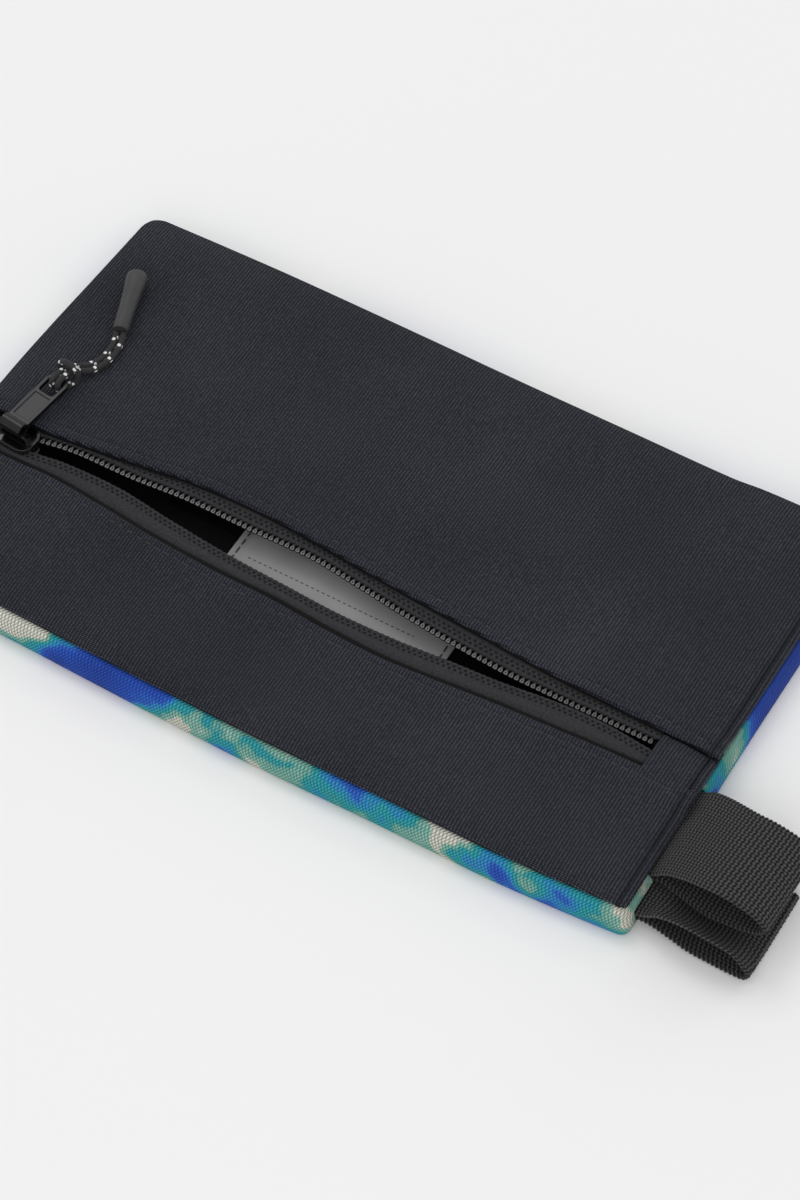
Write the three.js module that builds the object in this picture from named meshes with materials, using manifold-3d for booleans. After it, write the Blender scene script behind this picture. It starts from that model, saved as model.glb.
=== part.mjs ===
// A flat zip pencil case, lying on its printed back with the zip partly open.
// Millimetres. The origin is the centre of the underside, +X runs along the zip towards the
// end that carries the webbing loops, +Y to the far long side and +Z up.

import * as THREE from 'three';
import { mergeVertices } from 'three/addons/utils/BufferGeometryUtils.js';
import Module from 'manifold-3d';

const wasm = await Module();
wasm.setup();

// Case and cloth
const CASE_LENGTH = 205;
const CASE_WIDTH = 126;
const CORNER_RADIUS = 5;
const CANVAS = 1.0;
const GAP = 0.3;

// Side seam: how far the black canvas stops short of the bulging print, on each side
const SEAM_HEIGHT = 8.3;
const SEAM_INSET_NEAR = 3.2;
const SEAM_INSET_FAR = 1.4;
const SEAM_INSET_LEFT = 1.4;
const SEAM_INSET_RIGHT = 1.9;
const SEAM_ALLOWANCE_WIDTH = 3;
const EDGE_BOW_DEPTH = 2.6;

// Black canvas between the seams
const PUFF = 1.5;
const RIM_ROLL = 4;
const DENT_DEPTH = 0.6;
const FOLD_LIFT = 0.4;
const FOLD_THICKNESS = 1.6;
const FOLD_TURN = 8;
const FOLD_ROUND = 0.06;

// Zip
const ZIP_OFFSET = 15;
const MOUTH_WIDTH = 9.6;
const FAR_TAPE_WIDTH = 4;
const NEAR_TAPE_WIDTH = 7;
const TAPE_THICKNESS = 0.6;
const TAPE_TUCK_DEPTH = 7;
const TOOTH_PITCH = 1.45;
const TOOTH_DEPTH = 0.8;
const TEETH_WIDTH = 2.6;
const TEETH_THICKNESS = 1.2;
const TEETH_REACH_LENGTH = 1.2;
const ZIP_INSET_RIGHT = 16.1;
const ZIP_INSET_LEFT = 7.1;
const PATCH_TUCK_DEPTH = 3;

// Slider and its bail
const SLIDER_INSET = 14.1;
const SLIDER_LENGTH = 11.6;
const SLIDER_WIDTH = 8.6;
const SLIDER_TAIL_WIDTH = 7;
const SLIDER_PLATE = 1.2;
const SLIDER_SLACK = 0.15;
const SLIDER_POST_WIDTH = 2.0;
const SLIDER_POST_LENGTH = 1.3;
const BAIL_WIRE = 1.5;
const BAIL_RISE = 3.0;
const BAIL_SETBACK = 0.2;
const BAIL_TURN_DEG = -7;

// Pull
const EYE_CLEARANCE = 0.35;
const EYE_WALL = 0.8;
const TAB_LENGTH = 17.8;
const TAB_WIDTH = 6.2;
const TAB_THICKNESS = 1.4;
const TAB_CORNER_SHARE = 0.7;
const TAB_PULL_SHARE = 0.4;
const HOLE_CORNER_SHARE = 0.8;
const HOLE_CUT_SHARE = 0.6;
const EYE_SIDES = 20;
const TAB_RIM = 0.9;
const TAB_RECESS = 0.3;
const TAB_HOLE_LENGTH = 4.6;
const TAB_BAR = 1.5;
const CORD_DIAMETER = 1.6;
const PULL_END_LENGTH = 18.7;
const PULL_END_WIDTH = 5.4;
const PULL_END_HEIGHT = 4.4;
const PULL_END_TURN_DEG = 25.8;
const PULL_TAIL_LENGTH = 20.3;

// Label and loops
const LABEL_LENGTH = 60;
const LABEL_WIDTH = 25;
const LABEL_THICKNESS = 0.6;
const LABEL_X = 0.8;
const LABEL_INSET = 46.5;
const WEBBING_WIDTH = 25.4;
const WEBBING_THICKNESS = 1.2;
const LEG_GAP = 0.2;
const LOOP_REACH = 29.8;
const LOOP_ROOT = 4;
const UPPER_LOOP_INSET = 16.8;
const UPPER_LOOP_HEIGHT = 10.6;
const UPPER_LOOP_LIFT = 4.6;
const UPPER_LOOP_SKEW = 3.8;
const UPPER_LOOP_TILT = 3.9;
const LOW_LEG_TILT = 1.6;
const LOWER_LOOP_INSET = 7.6;
const LOWER_LOOP_HEIGHT = 10.6;
const LOWER_LOOP_PINCH = 7.6;
const LOWER_LOOP_SKEW = 1.2;
const PINCH_EASE_ALONG = 0.4;
const PINCH_EASE_ACROSS = 0.4;
const LOOP_EASE = 0.6;

// How finely the shapes are divided
const POINTS_ALONG_LENGTH = 14;
const POINTS_ALONG_WIDTH = 9;
const POINTS_PER_CORNER = 4;
const PANEL_COLUMNS = 30;
const PANEL_ROWS = 9;
const TAPE_COLUMNS = 44;
const LOOP_STEPS = 24;
const LOOP_ROWS = 3;
const CORD_STEPS = 58;
const CORD_SIDES = 8;
const WIRE_SIDES = 12;
const END_SIDES = 16;

const COLOURS = {
  blackCanvas: { color: 0x2b2d33, roughness: 0.85, metalness: 0 },
  printedCanvas: { color: 0x2f6fae, roughness: 0.85, metalness: 0 },
  zipTape: { color: 0x3a3838, roughness: 0.9, metalness: 0 },
  zipTeeth: { color: 0x2a2a2c, roughness: 0.4, metalness: 0 },
  gunmetal: { color: 0x4c4c52, roughness: 0.35, metalness: 0.9 },
  cord: { color: 0x1c1c1e, roughness: 0.8, metalness: 0 },
  rubber: { color: 0x38383a, roughness: 0.7, metalness: 0 },
  webbing: { color: 0x343332, roughness: 0.9, metalness: 0 },
  label: { color: 0x8a8a8c, roughness: 0.6, metalness: 0 },
};

// Where the sides wander inwards from a true rectangle, as shares of EDGE_BOW_DEPTH
const EDGE_ALONG_LENGTH = [
  { at: -1.0, near: 0.9, far: 0.3 },
  { at: -0.6, near: 0.55, far: 0.0 },
  { at: -0.2, near: 0.15, far: 0.1 },
  { at: 0.05, near: 0.0, far: 0.25 },
  { at: 0.35, near: 0.2, far: 0.3 },
  { at: 0.64, near: 0.25, far: 0.35 },
  { at: 0.72, near: 0.35, far: 0.1 },
  { at: 0.85, near: 0.65, far: 0.0 },
  { at: 1.0, near: 1.1, far: 0.1 },
];
const EDGE_ALONG_WIDTH = [
  { at: -1.0, left: 0.3, right: 0.0 },
  { at: -0.5, left: 0.1, right: 0.1 },
  { at: 0.0, left: 0.0, right: 0.15 },
  { at: 0.3, left: 0.25, right: 0.1 },
  { at: 0.6, left: 0.65, right: 0.1 },
  { at: 1.0, left: 1.15, right: 0.2 },
];

// The open zip. at is a share of the half length, line a share of ZIP_OFFSET, mouth a share
// of MOUTH_WIDTH, and far and near are shares of the tape that shows on each side.
const ZIP_SECTIONS = [
  { at: -0.98, line: 1.04, mouth: 0.0, far: 1.14, near: 0.96 },
  { at: -0.92, line: 1.04, mouth: 0.0, far: 1.14, near: 0.96 },
  { at: -0.875, line: 1.035, mouth: 0.06, far: 1.1, near: 0.93 },
  { at: -0.81, line: 0.99, mouth: 0.35, far: 0.54, near: 0.82 },
  { at: -0.72, line: 0.905, mouth: 0.38, far: 0.4, near: 0.95 },
  { at: -0.57, line: 0.887, mouth: 0.4, far: 0.78, near: 1.14 },
  { at: -0.43, line: 0.907, mouth: 0.7, far: 0.98, near: 1.1 },
  { at: -0.26, line: 0.967, mouth: 0.88, far: 1.15, near: 1.0 },
  { at: -0.09, line: 0.99, mouth: 1.0, far: 0.85, near: 0.91 },
  { at: 0.05, line: 1.067, mouth: 0.9, far: 0.92, near: 0.96 },
  { at: 0.2, line: 1.12, mouth: 0.66, far: 1.12, near: 1.07 },
  { at: 0.33, line: 1.127, mouth: 0.42, far: 1.22, near: 1.1 },
  { at: 0.46, line: 1.127, mouth: 0.24, far: 1.18, near: 1.06 },
  { at: 0.6, line: 1.075, mouth: 0.06, far: 1.0, near: 1.17 },
  { at: 0.72, line: 1.06, mouth: 0.04, far: 0.9, near: 1.12 },
  { at: 0.84, line: 1.093, mouth: 0.15, far: 0.78, near: 0.93 },
  { at: 0.98, line: 1.13, mouth: 0.15, far: 0.78, near: 0.91 },
];

// Shallow dents of the black canvas. x and y are shares of the half length and half width,
// long and wide shares of the case's length and width, depth a share of DENT_DEPTH.
const DENTS = [
  { x: 0.66, y: 0.9, long: 0.025, wide: 0.14, turnDeg: -28, depth: 1.0 },
  { x: 0.3, y: 0.45, long: 0.24, wide: 0.14, turnDeg: 8, depth: 0.7 },
  { x: -0.45, y: 0.5, long: 0.18, wide: 0.18, turnDeg: -12, depth: 0.5 },
  { x: 0.9, y: 0.1, long: 0.03, wide: 0.2, turnDeg: 6, depth: 0.6 },
  { x: -0.2, y: -0.68, long: 0.24, wide: 0.09, turnDeg: 4, depth: 0.6 },
  { x: 0.62, y: -0.66, long: 0.14, wide: 0.09, turnDeg: -10, depth: 0.5 },
];

// Section of the printed side: out is a share of that side's seam inset, up a share of the
// height to the top of the print's seam allowance.
const SIDE_SECTION = [
  { out: 0.5, up: 0.0 },
  { out: 0.86, up: 0.07 },
  { out: 1.0, up: 0.3 },
  { out: 0.95, up: 0.55 },
  { out: 0.62, up: 0.82 },
  { out: 0.12, up: 1.0 },
];

// Outer faces of a webbing loop: along is a share of LOOP_REACH, height a share of the
// loop's height. Each list runs out over the top to the fold and back underneath.
const UPPER_LOOP_SECTION = [
  { along: 0.1, height: 0.42 },
  { along: 0.24, height: 0.66 },
  { along: 0.38, height: 0.86 },
  { along: 0.52, height: 0.98 },
  { along: 0.64, height: 1.0 },
  { along: 0.78, height: 0.92 },
  { along: 0.9, height: 0.8 },
  { along: 0.98, height: 0.62 },
  { along: 1.0, height: 0.46 },
  { along: 0.94, height: 0.28 },
  { along: 0.84, height: 0.18 },
  { along: 0.7, height: 0.11 },
  { along: 0.54, height: 0.05 },
  { along: 0.38, height: 0.02 },
  { along: 0.22, height: 0.0 },
  { along: 0.08, height: 0.02 },
];
const LOWER_LOOP_SECTION = [
  { along: 0.1, height: 0.42 },
  { along: 0.2, height: 0.7 },
  { along: 0.32, height: 0.89 },
  { along: 0.46, height: 1.0 },
  { along: 0.6, height: 0.99 },
  { along: 0.74, height: 0.95 },
  { along: 0.86, height: 0.82 },
  { along: 0.95, height: 0.52 },
  { along: 1.0, height: 0.26 },
  { along: 0.97, height: 0.05 },
  { along: 0.86, height: 0.0 },
  { along: 0.68, height: 0.02 },
  { along: 0.5, height: 0.05 },
  { along: 0.34, height: 0.14 },
  { along: 0.2, height: 0.2 },
  { along: 0.08, height: 0.2 },
];

// Outer form of the moulded end on the pull's cord, from its mouth to its tip
const PULL_END_SECTIONS = [
  { at: 0.0, wide: 0.68, high: 0.76 },
  { at: 0.03, wide: 0.74, high: 0.82 },
  { at: 0.4, wide: 0.78, high: 0.84 },
  { at: 0.68, wide: 0.88, high: 0.92 },
  { at: 0.86, wide: 1.0, high: 1.0 },
  { at: 0.94, wide: 0.96, high: 0.96 },
  { at: 0.98, wide: 0.8, high: 0.82 },
  { at: 1.0, wide: 0.5, high: 0.56 },
];

// Half of the cord's girth hitch on the tab: from the crossing over both strands, down at the
// side, under the tab, up through its hole and back over the bar. The other half mirrors it.
// Cord diameters: side from the middle, along from the tab's end, up from its middle level.
const HITCH_SECTIONS = [
  { side: 0.0, along: 1.875, up: 1.78 },
  { side: 0.81, along: 1.875, up: 1.625 },
  { side: 1.47, along: 1.875, up: 1.125 },
  { side: 1.7, along: 1.81, up: 0.375 },
  { side: 1.625, along: 1.56, up: -0.31 },
  { side: 1.34, along: 1.06, up: -0.84 },
  { side: 0.97, along: 0.31, up: -1.04 },
  { side: 0.72, along: -0.5, up: -1.05 },
  { side: 0.61, along: -1.25, up: -0.875 },
  { side: 0.575, along: -1.53, up: -0.31 },
  { side: 0.56, along: -1.53, up: 0.28 },
  { side: 0.55, along: -1.28, up: 0.86 },
  { side: 0.54, along: -0.56, up: 1.05 },
  { side: 0.54, along: 0.31, up: 0.94 },
];

// The two strands from the hitch to the moulded end: the line between them as shares of the
// tail's length, its height and the strands' spacing in cord diameters, and its turn.
const TAIL_SECTIONS = [
  { along: 0.0985, side: 0.001, up: 0.56, apart: 1.1, turnDeg: 0 },
  { along: 0.184, side: 0.01, up: 0.06, apart: 1.19, turnDeg: 0 },
  { along: 0.267, side: 0.041, up: -0.44, apart: 1.19, turnDeg: -14.5 },
  { along: 0.357, side: 0.094, up: -0.94, apart: 1.1, turnDeg: -24.5 },
  { along: 0.47, side: 0.139, up: -1.19, apart: 1.14, turnDeg: -32 },
  { along: 0.616, side: 0.162, up: -1.25, apart: 1.05, turnDeg: -6.8 },
  { along: 0.744, side: 0.158, up: -1.22, apart: 1.07, turnDeg: 6.7 },
  { along: 0.877, side: 0.125, up: -0.94, apart: 1.04, turnDeg: 21.2 },
  { along: 0.999, side: 0.068, up: -0.69, apart: 1.075, turnDeg: 25.8 },
];

const halfLength = CASE_LENGTH / 2;
const halfWidth = CASE_WIDTH / 2;
const zipRight = halfLength - ZIP_INSET_RIGHT;
const zipLeft = -halfLength + ZIP_INSET_LEFT;
const sliderX = -halfLength + SLIDER_INSET;
const upperLoopEdge = -halfWidth + UPPER_LOOP_INSET;
const lowerLoopEdge = -halfWidth + LOWER_LOOP_INSET;
const labelY = -halfWidth + LABEL_INSET;
const lipTop = SEAM_HEIGHT - CANVAS - GAP;
const seam = {
  left: -halfLength + SEAM_INSET_LEFT,
  right: halfLength - SEAM_INSET_RIGHT,
  near: -halfWidth + SEAM_INSET_NEAR,
  far: halfWidth - SEAM_INSET_FAR,
};

// Reads one named column of a table at a place, on a smooth curve through its rows
function tableValue(table, at, column) {
  const last = table.length - 1;
  const place = THREE.MathUtils.clamp(at, table[0].at, table[last].at);
  let row = 0;
  while (row < last - 1 && place > table[row + 1].at) {
    row += 1;
  }
  const slope = (index) => {
    const before = table[Math.max(index - 1, 0)];
    const after = table[Math.min(index + 1, last)];
    return (after[column] - before[column]) / (after.at - before.at);
  };
  const from = table[row];
  const to = table[row + 1];
  const span = to.at - from.at;
  const t = (place - from.at) / span;
  const rise = to[column] - from[column];
  const startPull = slope(row) * span - rise;
  const endPull = rise - slope(row + 1) * span;
  return from[column] + t * rise + t * (1 - t) * ((1 - t) * startPull + t * endPull);
}

// Moves a point of the true rectangle to where the sewn case really lies
function lay(x, y) {
  const a = x / halfLength;
  const b = y / halfWidth;
  const pull = (share) => EDGE_BOW_DEPTH * Math.max(0, share) ** 2;
  const sideways = tableValue(EDGE_ALONG_WIDTH, b, 'left') * pull(-a)
    - tableValue(EDGE_ALONG_WIDTH, b, 'right') * pull(a);
  const lengthways = tableValue(EDGE_ALONG_LENGTH, a, 'near') * pull(-b)
    - tableValue(EDGE_ALONG_LENGTH, a, 'far') * pull(b);
  return { x: x + sideways, y: y + lengthways };
}

// Draws the corner of a rectangle in to an arc, without moving its sides
function roundCorner(x, y, box, radius) {
  const middleX = (box.left + box.right) / 2;
  const middleY = (box.near + box.far) / 2;
  const p = (Math.abs(x - middleX) - (box.right - middleX - radius)) / radius;
  const q = (Math.abs(y - middleY) - (box.far - middleY - radius)) / radius;
  if (p <= 0 || q <= 0) {
    return { x, y };
  }
  const inX = radius * p * (1 - Math.sqrt(1 - q * q / 2));
  const inY = radius * q * (1 - Math.sqrt(1 - p * p / 2));
  return { x: x - Math.sign(x - middleX) * inX, y: y - Math.sign(y - middleY) * inY };
}

// Height of the black canvas over a point of the true rectangle
function canvasTop(x, y) {
  const roll = (distance) => 1 - Math.exp(-Math.max(0, distance) / RIM_ROLL);
  const rise = roll(Math.min(x - seam.left, seam.right - x))
    * roll(Math.min(y - seam.near, seam.far - y));
  let dent = 0;
  for (const row of DENTS) {
    const turn = THREE.MathUtils.degToRad(row.turnDeg);
    const dx = x - row.x * halfLength;
    const dy = y - row.y * halfWidth;
    const along = (dx * Math.cos(turn) + dy * Math.sin(turn)) / (row.long * CASE_LENGTH);
    const across = (dy * Math.cos(turn) - dx * Math.sin(turn)) / (row.wide * CASE_WIDTH);
    dent += row.depth * DENT_DEPTH * Math.exp(-along * along - across * across);
  }
  return SEAM_HEIGHT + rise * (PUFF - dent);
}

// Levels of the zip. The tape lies as low as the seam, and both folds cross it at each end.
const foldTop = SEAM_HEIGHT + PUFF + FOLD_LIFT;
const tapeTop = foldTop - FOLD_THICKNESS - GAP;
const teethTop = tapeTop - TAPE_THICKNESS - GAP;

// The zip at one place along it: its teeth and the canvas folds beside them
function zipAt(x) {
  const at = x / halfLength;
  const line = -ZIP_OFFSET * tableValue(ZIP_SECTIONS, at, 'line');
  const half = (MOUTH_WIDTH * tableValue(ZIP_SECTIONS, at, 'mouth') + GAP) / 2;
  const farTeeth = line + half;
  const nearTeeth = line - half;
  return {
    line,
    farTeeth,
    nearTeeth,
    farFold: farTeeth + FAR_TAPE_WIDTH * tableValue(ZIP_SECTIONS, at, 'far'),
    nearFold: nearTeeth - NEAR_TAPE_WIDTH * tableValue(ZIP_SECTIONS, at, 'near'),
  };
}

// Makes one closed geometry of corners and triangles, and turns its faces outwards
function closedGeometry(corners, triangles) {
  let volume = 0;
  for (const [a, b, c] of triangles) {
    volume += corners[a].dot(new THREE.Vector3().crossVectors(corners[b], corners[c]));
  }
  const outward = volume < 0 ? triangles.map(([a, b, c]) => [a, c, b]) : triangles;
  const geometry = new THREE.BufferGeometry();
  geometry.setAttribute(
    'position',
    new THREE.Float32BufferAttribute(corners.flatMap((corner) => corner.toArray()), 3),
  );
  geometry.setIndex(outward.flat());
  geometry.computeVertexNormals();
  return geometry;
}

// A sheet with thickness: sheet[row][column] holds the two faces' points, upper and lower
function sheetSolid(sheet) {
  const rows = sheet.length;
  const columns = sheet[0].length;
  const corners = [];
  const triangles = [];
  for (const face of ['upper', 'lower']) {
    for (const row of sheet) {
      for (const point of row) {
        corners.push(point[face]);
      }
    }
  }
  const corner = (layer, row, column) => layer * rows * columns + row * columns + column;
  const quad = (a, b, c, d) => triangles.push([a, b, c], [a, c, d]);
  for (let row = 0; row < rows - 1; row += 1) {
    for (let column = 0; column < columns - 1; column += 1) {
      quad(corner(0, row, column), corner(0, row, column + 1),
        corner(0, row + 1, column + 1), corner(0, row + 1, column));
      quad(corner(1, row, column), corner(1, row + 1, column),
        corner(1, row + 1, column + 1), corner(1, row, column + 1));
    }
  }
  const edge = [];
  for (let column = 0; column < columns - 1; column += 1) {
    edge.push([0, column]);
  }
  for (let row = 0; row < rows - 1; row += 1) {
    edge.push([row, columns - 1]);
  }
  for (let column = columns - 1; column > 0; column -= 1) {
    edge.push([rows - 1, column]);
  }
  for (let row = rows - 1; row > 0; row -= 1) {
    edge.push([row, 0]);
  }
  edge.forEach(([row, column], index) => {
    const [nextRow, nextColumn] = edge[(index + 1) % edge.length];
    quad(corner(0, row, column), corner(1, row, column),
      corner(1, nextRow, nextColumn), corner(0, nextRow, nextColumn));
  });
  return closedGeometry(corners, triangles);
}

// A skin through closed rings of points, with a fan to the middle of its two end rings
function ringSolid(rings) {
  const count = rings[0].length;
  const corners = rings.flat();
  const triangles = [];
  for (let ring = 0; ring < rings.length - 1; ring += 1) {
    for (let index = 0; index < count; index += 1) {
      const next = (index + 1) % count;
      const a = ring * count + index;
      const b = ring * count + next;
      triangles.push([a, b, b + count], [a, b + count, a + count]);
    }
  }
  const close = (ring, first, second) => {
    const middle = new THREE.Vector3();
    rings[ring].forEach((point) => middle.add(point));
    corners.push(middle.divideScalar(count));
    for (let index = 0; index < count; index += 1) {
      const here = ring * count + (index + first) % count;
      const there = ring * count + (index + second) % count;
      triangles.push([corners.length - 1, here, there]);
    }
  };
  close(0, 1, 0);
  close(rings.length - 1, 0, 1);
  return closedGeometry(corners, triangles);
}

// Stations from one value to another, closer together at both ends
function stations(from, to, count) {
  const list = [];
  for (let index = 0; index <= count; index += 1) {
    const t = index / count * 2 - 1;
    const eased = 0.45 * t + 0.55 * Math.sin(t * Math.PI / 2);
    list.push(THREE.MathUtils.lerp(from, to, (eased + 1) / 2));
  }
  return list;
}

// Corners of the case's outline at one level, drawn in from each side by its own inset
function outlineRing(insets, radius, z) {
  const box = {
    left: -halfLength + insets.left,
    right: halfLength - insets.right,
    near: -halfWidth + insets.near,
    far: halfWidth - insets.far,
  };
  const ring = [];
  const straight = (fromX, fromY, toX, toY, count) => {
    for (let index = 0; index <= count; index += 1) {
      const x = THREE.MathUtils.lerp(fromX, toX, index / count);
      const y = THREE.MathUtils.lerp(fromY, toY, index / count);
      ring.push([x, y]);
    }
  };
  const corner = (x, y, startDeg) => {
    for (let index = 1; index < POINTS_PER_CORNER; index += 1) {
      const angle = THREE.MathUtils.degToRad(startDeg + 90 * index / POINTS_PER_CORNER);
      ring.push([x + radius * Math.cos(angle), y + radius * Math.sin(angle)]);
    }
  };
  straight(box.left + radius, box.near, box.right - radius, box.near, POINTS_ALONG_LENGTH);
  corner(box.right - radius, box.near + radius, -90);
  straight(box.right, box.near + radius, box.right, box.far - radius, POINTS_ALONG_WIDTH);
  corner(box.right - radius, box.far - radius, 0);
  straight(box.right - radius, box.far, box.left + radius, box.far, POINTS_ALONG_LENGTH);
  corner(box.left + radius, box.far - radius, 90);
  straight(box.left, box.far - radius, box.left, box.near + radius, POINTS_ALONG_WIDTH);
  corner(box.left + radius, box.near + radius, 180);
  return ring.map(([x, y]) => {
    const placed = lay(x, y);
    return new THREE.Vector3(placed.x, placed.y, z);
  });
}

// Insets of all four sides, some way between the outermost bulge and the seam
function sideInsets(shareIn, extra) {
  return {
    left: SEAM_INSET_LEFT * shareIn + extra,
    right: SEAM_INSET_RIGHT * shareIn + extra,
    near: SEAM_INSET_NEAR * shareIn + extra,
    far: SEAM_INSET_FAR * shareIn + extra,
  };
}

function solidOf(geometry) {
  const bare = new THREE.BufferGeometry();
  const source = geometry.index ? geometry : mergeVertices(geometry);
  bare.setAttribute('position', source.getAttribute('position').clone());
  bare.setIndex(source.index.clone());
  const merged = mergeVertices(bare, 1e-4);
  return new wasm.Manifold(new wasm.Mesh({
    numProp: 3,
    vertProperties: new Float32Array(merged.getAttribute('position').array),
    triVerts: new Uint32Array(merged.index.array),
  }));
}

function geometryOf(solid) {
  const mesh = solid.getMesh();
  const geometry = new THREE.BufferGeometry();
  geometry.setAttribute('position', new THREE.BufferAttribute(mesh.vertProperties, 3));
  geometry.setIndex(new THREE.BufferAttribute(mesh.triVerts, 1));
  geometry.computeVertexNormals();
  return geometry;
}

function box(fromX, toX, fromY, toY, fromZ, toZ) {
  const geometry = new THREE.BoxGeometry(toX - fromX, toY - fromY, toZ - fromZ);
  return geometry.translate((fromX + toX) / 2, (fromY + toY) / 2, (fromZ + toZ) / 2);
}

function namedMesh(name, geometry, colour) {
  const mesh = new THREE.Mesh(geometry, new THREE.MeshStandardMaterial(COLOURS[colour]));
  mesh.name = name;
  return mesh;
}

// Levels of the loops' roots in the side seam, the upper one close under the black canvas
const rootThickness = 2 * WEBBING_THICKNESS + LEG_GAP;
const upperRootTop = lipTop;
const lowerRootTop = upperRootTop - rootThickness - GAP;

// Printed back: a flat floor, sides that bulge and turn in, and their seam allowance, with
// slots through the right side where the loops come out
function backPanel() {
  const rings = [];
  const outer = SIDE_SECTION.map((row) => ({ inset: 1 - row.out, z: row.up * lipTop, extra: 0 }));
  const lipIn = [{ inset: 1, z: lipTop, extra: SEAM_ALLOWANCE_WIDTH }];
  const lipUnder = [{ inset: 1, z: lipTop - CANVAS, extra: SEAM_ALLOWANCE_WIDTH }];
  const inner = SIDE_SECTION.slice(1).reverse().map((row) => ({
    inset: 1 - row.out,
    z: THREE.MathUtils.lerp(CANVAS, lipTop - CANVAS, row.up),
    extra: CANVAS,
  }));
  const floor = [{ inset: 0.5, z: CANVAS, extra: 2 * CANVAS }];
  for (const row of [...outer, ...lipIn, ...lipUnder, ...inner, ...floor]) {
    const radius = CORNER_RADIUS - row.extra / 2;
    rings.push(outlineRing(sideInsets(row.inset, row.extra), radius, row.z));
  }
  const slotFrom = seam.right - SEAM_ALLOWANCE_WIDTH - LOOP_ROOT;
  const slotTo = halfLength + CANVAS;
  const slot = (nearEdge, bottom, top) => solidOf(box(
    slotFrom, slotTo, nearEdge - GAP, nearEdge + WEBBING_WIDTH + GAP, bottom, top,
  ));
  const lowerBottom = lowerRootTop - rootThickness - GAP;
  const cut = slot(lowerLoopEdge, lowerBottom, lowerRootTop + GAP + CANVAS)
    .add(slot(upperLoopEdge, lowerRootTop, lipTop + GAP));
  return geometryOf(solidOf(ringSolid(rings)).subtract(cut));
}

// One black panel, from a zip fold out to the side seam
function blackPanel(foldOf, rimY) {
  const rim = { ...seam };
  const sheet = stations(rim.left, rim.right, PANEL_COLUMNS).map((x) => {
    const fold = foldOf(x);
    const turn = Math.sign(rimY - fold) * FOLD_TURN;
    const column = [fold, fold + turn * FOLD_ROUND, fold + turn / 2, fold + turn];
    for (let row = 1; row <= PANEL_ROWS; row += 1) {
      const t = row / PANEL_ROWS;
      column.push(THREE.MathUtils.lerp(fold + turn, rimY, Math.sin(t * Math.PI / 2)));
    }
    return column.map((y, row) => {
      const thickness = [FOLD_THICKNESS / 2, FOLD_THICKNESS, FOLD_THICKNESS][row] ?? CANVAS;
      const middle = foldTop - FOLD_THICKNESS / 2;
      const top = row < 3 ? middle + thickness / 2 : canvasTop(x, y);
      const rounded = roundCorner(x, y, rim, CORNER_RADIUS);
      const placed = lay(rounded.x, rounded.y);
      return {
        upper: new THREE.Vector3(placed.x, placed.y, top),
        lower: new THREE.Vector3(placed.x, placed.y, top - thickness),
      };
    });
  });
  return sheetSolid(sheet);
}

// A zip tape: from beside its teeth to well under the black canvas
function zipTape(side) {
  const list = [];
  for (let index = 0; index <= TAPE_COLUMNS; index += 1) {
    list.push(THREE.MathUtils.lerp(zipLeft + GAP, zipRight - GAP, index / TAPE_COLUMNS));
  }
  const sheet = list.map((x) => {
    const zip = zipAt(x);
    const teeth = side > 0 ? zip.farTeeth : zip.nearTeeth;
    const fold = side > 0 ? zip.farFold : zip.nearFold;
    return [teeth + side * TEETH_REACH_LENGTH, fold, fold + side * TAPE_TUCK_DEPTH].map((y) => ({
      upper: new THREE.Vector3(x, y, tapeTop),
      lower: new THREE.Vector3(x, y, tapeTop - TAPE_THICKNESS),
    }));
  });
  return sheetSolid(sheet);
}

// The coil under one tape, as a strip with a tooth at every pitch
function zipTeeth(side) {
  const from = zipLeft + GAP;
  const to = zipRight - GAP;
  const count = Math.floor((to - from) / TOOTH_PITCH);
  const edge = (x) => (side > 0 ? zipAt(x).farTeeth : zipAt(x).nearTeeth);
  const outline = [];
  for (let tooth = 0; tooth < count; tooth += 1) {
    const root = from + tooth * TOOTH_PITCH;
    const tip = root + TOOTH_PITCH / 2;
    outline.push(new THREE.Vector2(root, edge(root) + side * TOOTH_DEPTH));
    outline.push(new THREE.Vector2(tip, edge(tip)));
  }
  for (let index = TAPE_COLUMNS; index >= 0; index -= 1) {
    const x = THREE.MathUtils.lerp(from, from + count * TOOTH_PITCH, index / TAPE_COLUMNS);
    outline.push(new THREE.Vector2(x, edge(x) + side * TEETH_WIDTH));
  }
  const geometry = new THREE.ExtrudeGeometry(new THREE.Shape(outline), {
    depth: TEETH_THICKNESS,
    bevelEnabled: false,
  });
  return geometry.translate(0, 0, teethTop - TEETH_THICKNESS);
}

// The canvas patch that closes one end of the zip, between the two folds
function zipEnd(fromX, toX) {
  const columns = [0, 0.5, 1];
  const sheet = columns.map((share) => {
    const x = THREE.MathUtils.lerp(fromX, toX, share);
    const zip = zipAt(x);
    const far = zip.farFold + PATCH_TUCK_DEPTH;
    const near = zip.nearFold - PATCH_TUCK_DEPTH;
    return [near, zip.nearFold, zip.line, zip.farFold, far].map((y) => {
      const placed = lay(x, y);
      return {
        upper: new THREE.Vector3(placed.x, placed.y, tapeTop),
        lower: new THREE.Vector3(placed.x, placed.y, tapeTop - CANVAS),
      };
    });
  });
  return sheetSolid(sheet);
}

// Levels at the slider
const sliderY = zipAt(sliderX).line;
const topPlateBottom = tapeTop + GAP + SLIDER_SLACK;
const topPlateTop = topPlateBottom + SLIDER_PLATE;
const bottomPlateTop = teethTop - TEETH_THICKNESS - GAP - SLIDER_SLACK;
const hinge = new THREE.Vector3(sliderX - BAIL_SETBACK, sliderY, topPlateTop + BAIL_RISE);
const bailTurn = THREE.MathUtils.degToRad(BAIL_TURN_DEG);
const bailHalfSpan = TAB_WIDTH / 2 + EYE_CLEARANCE + BAIL_WIRE / 2;

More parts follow.
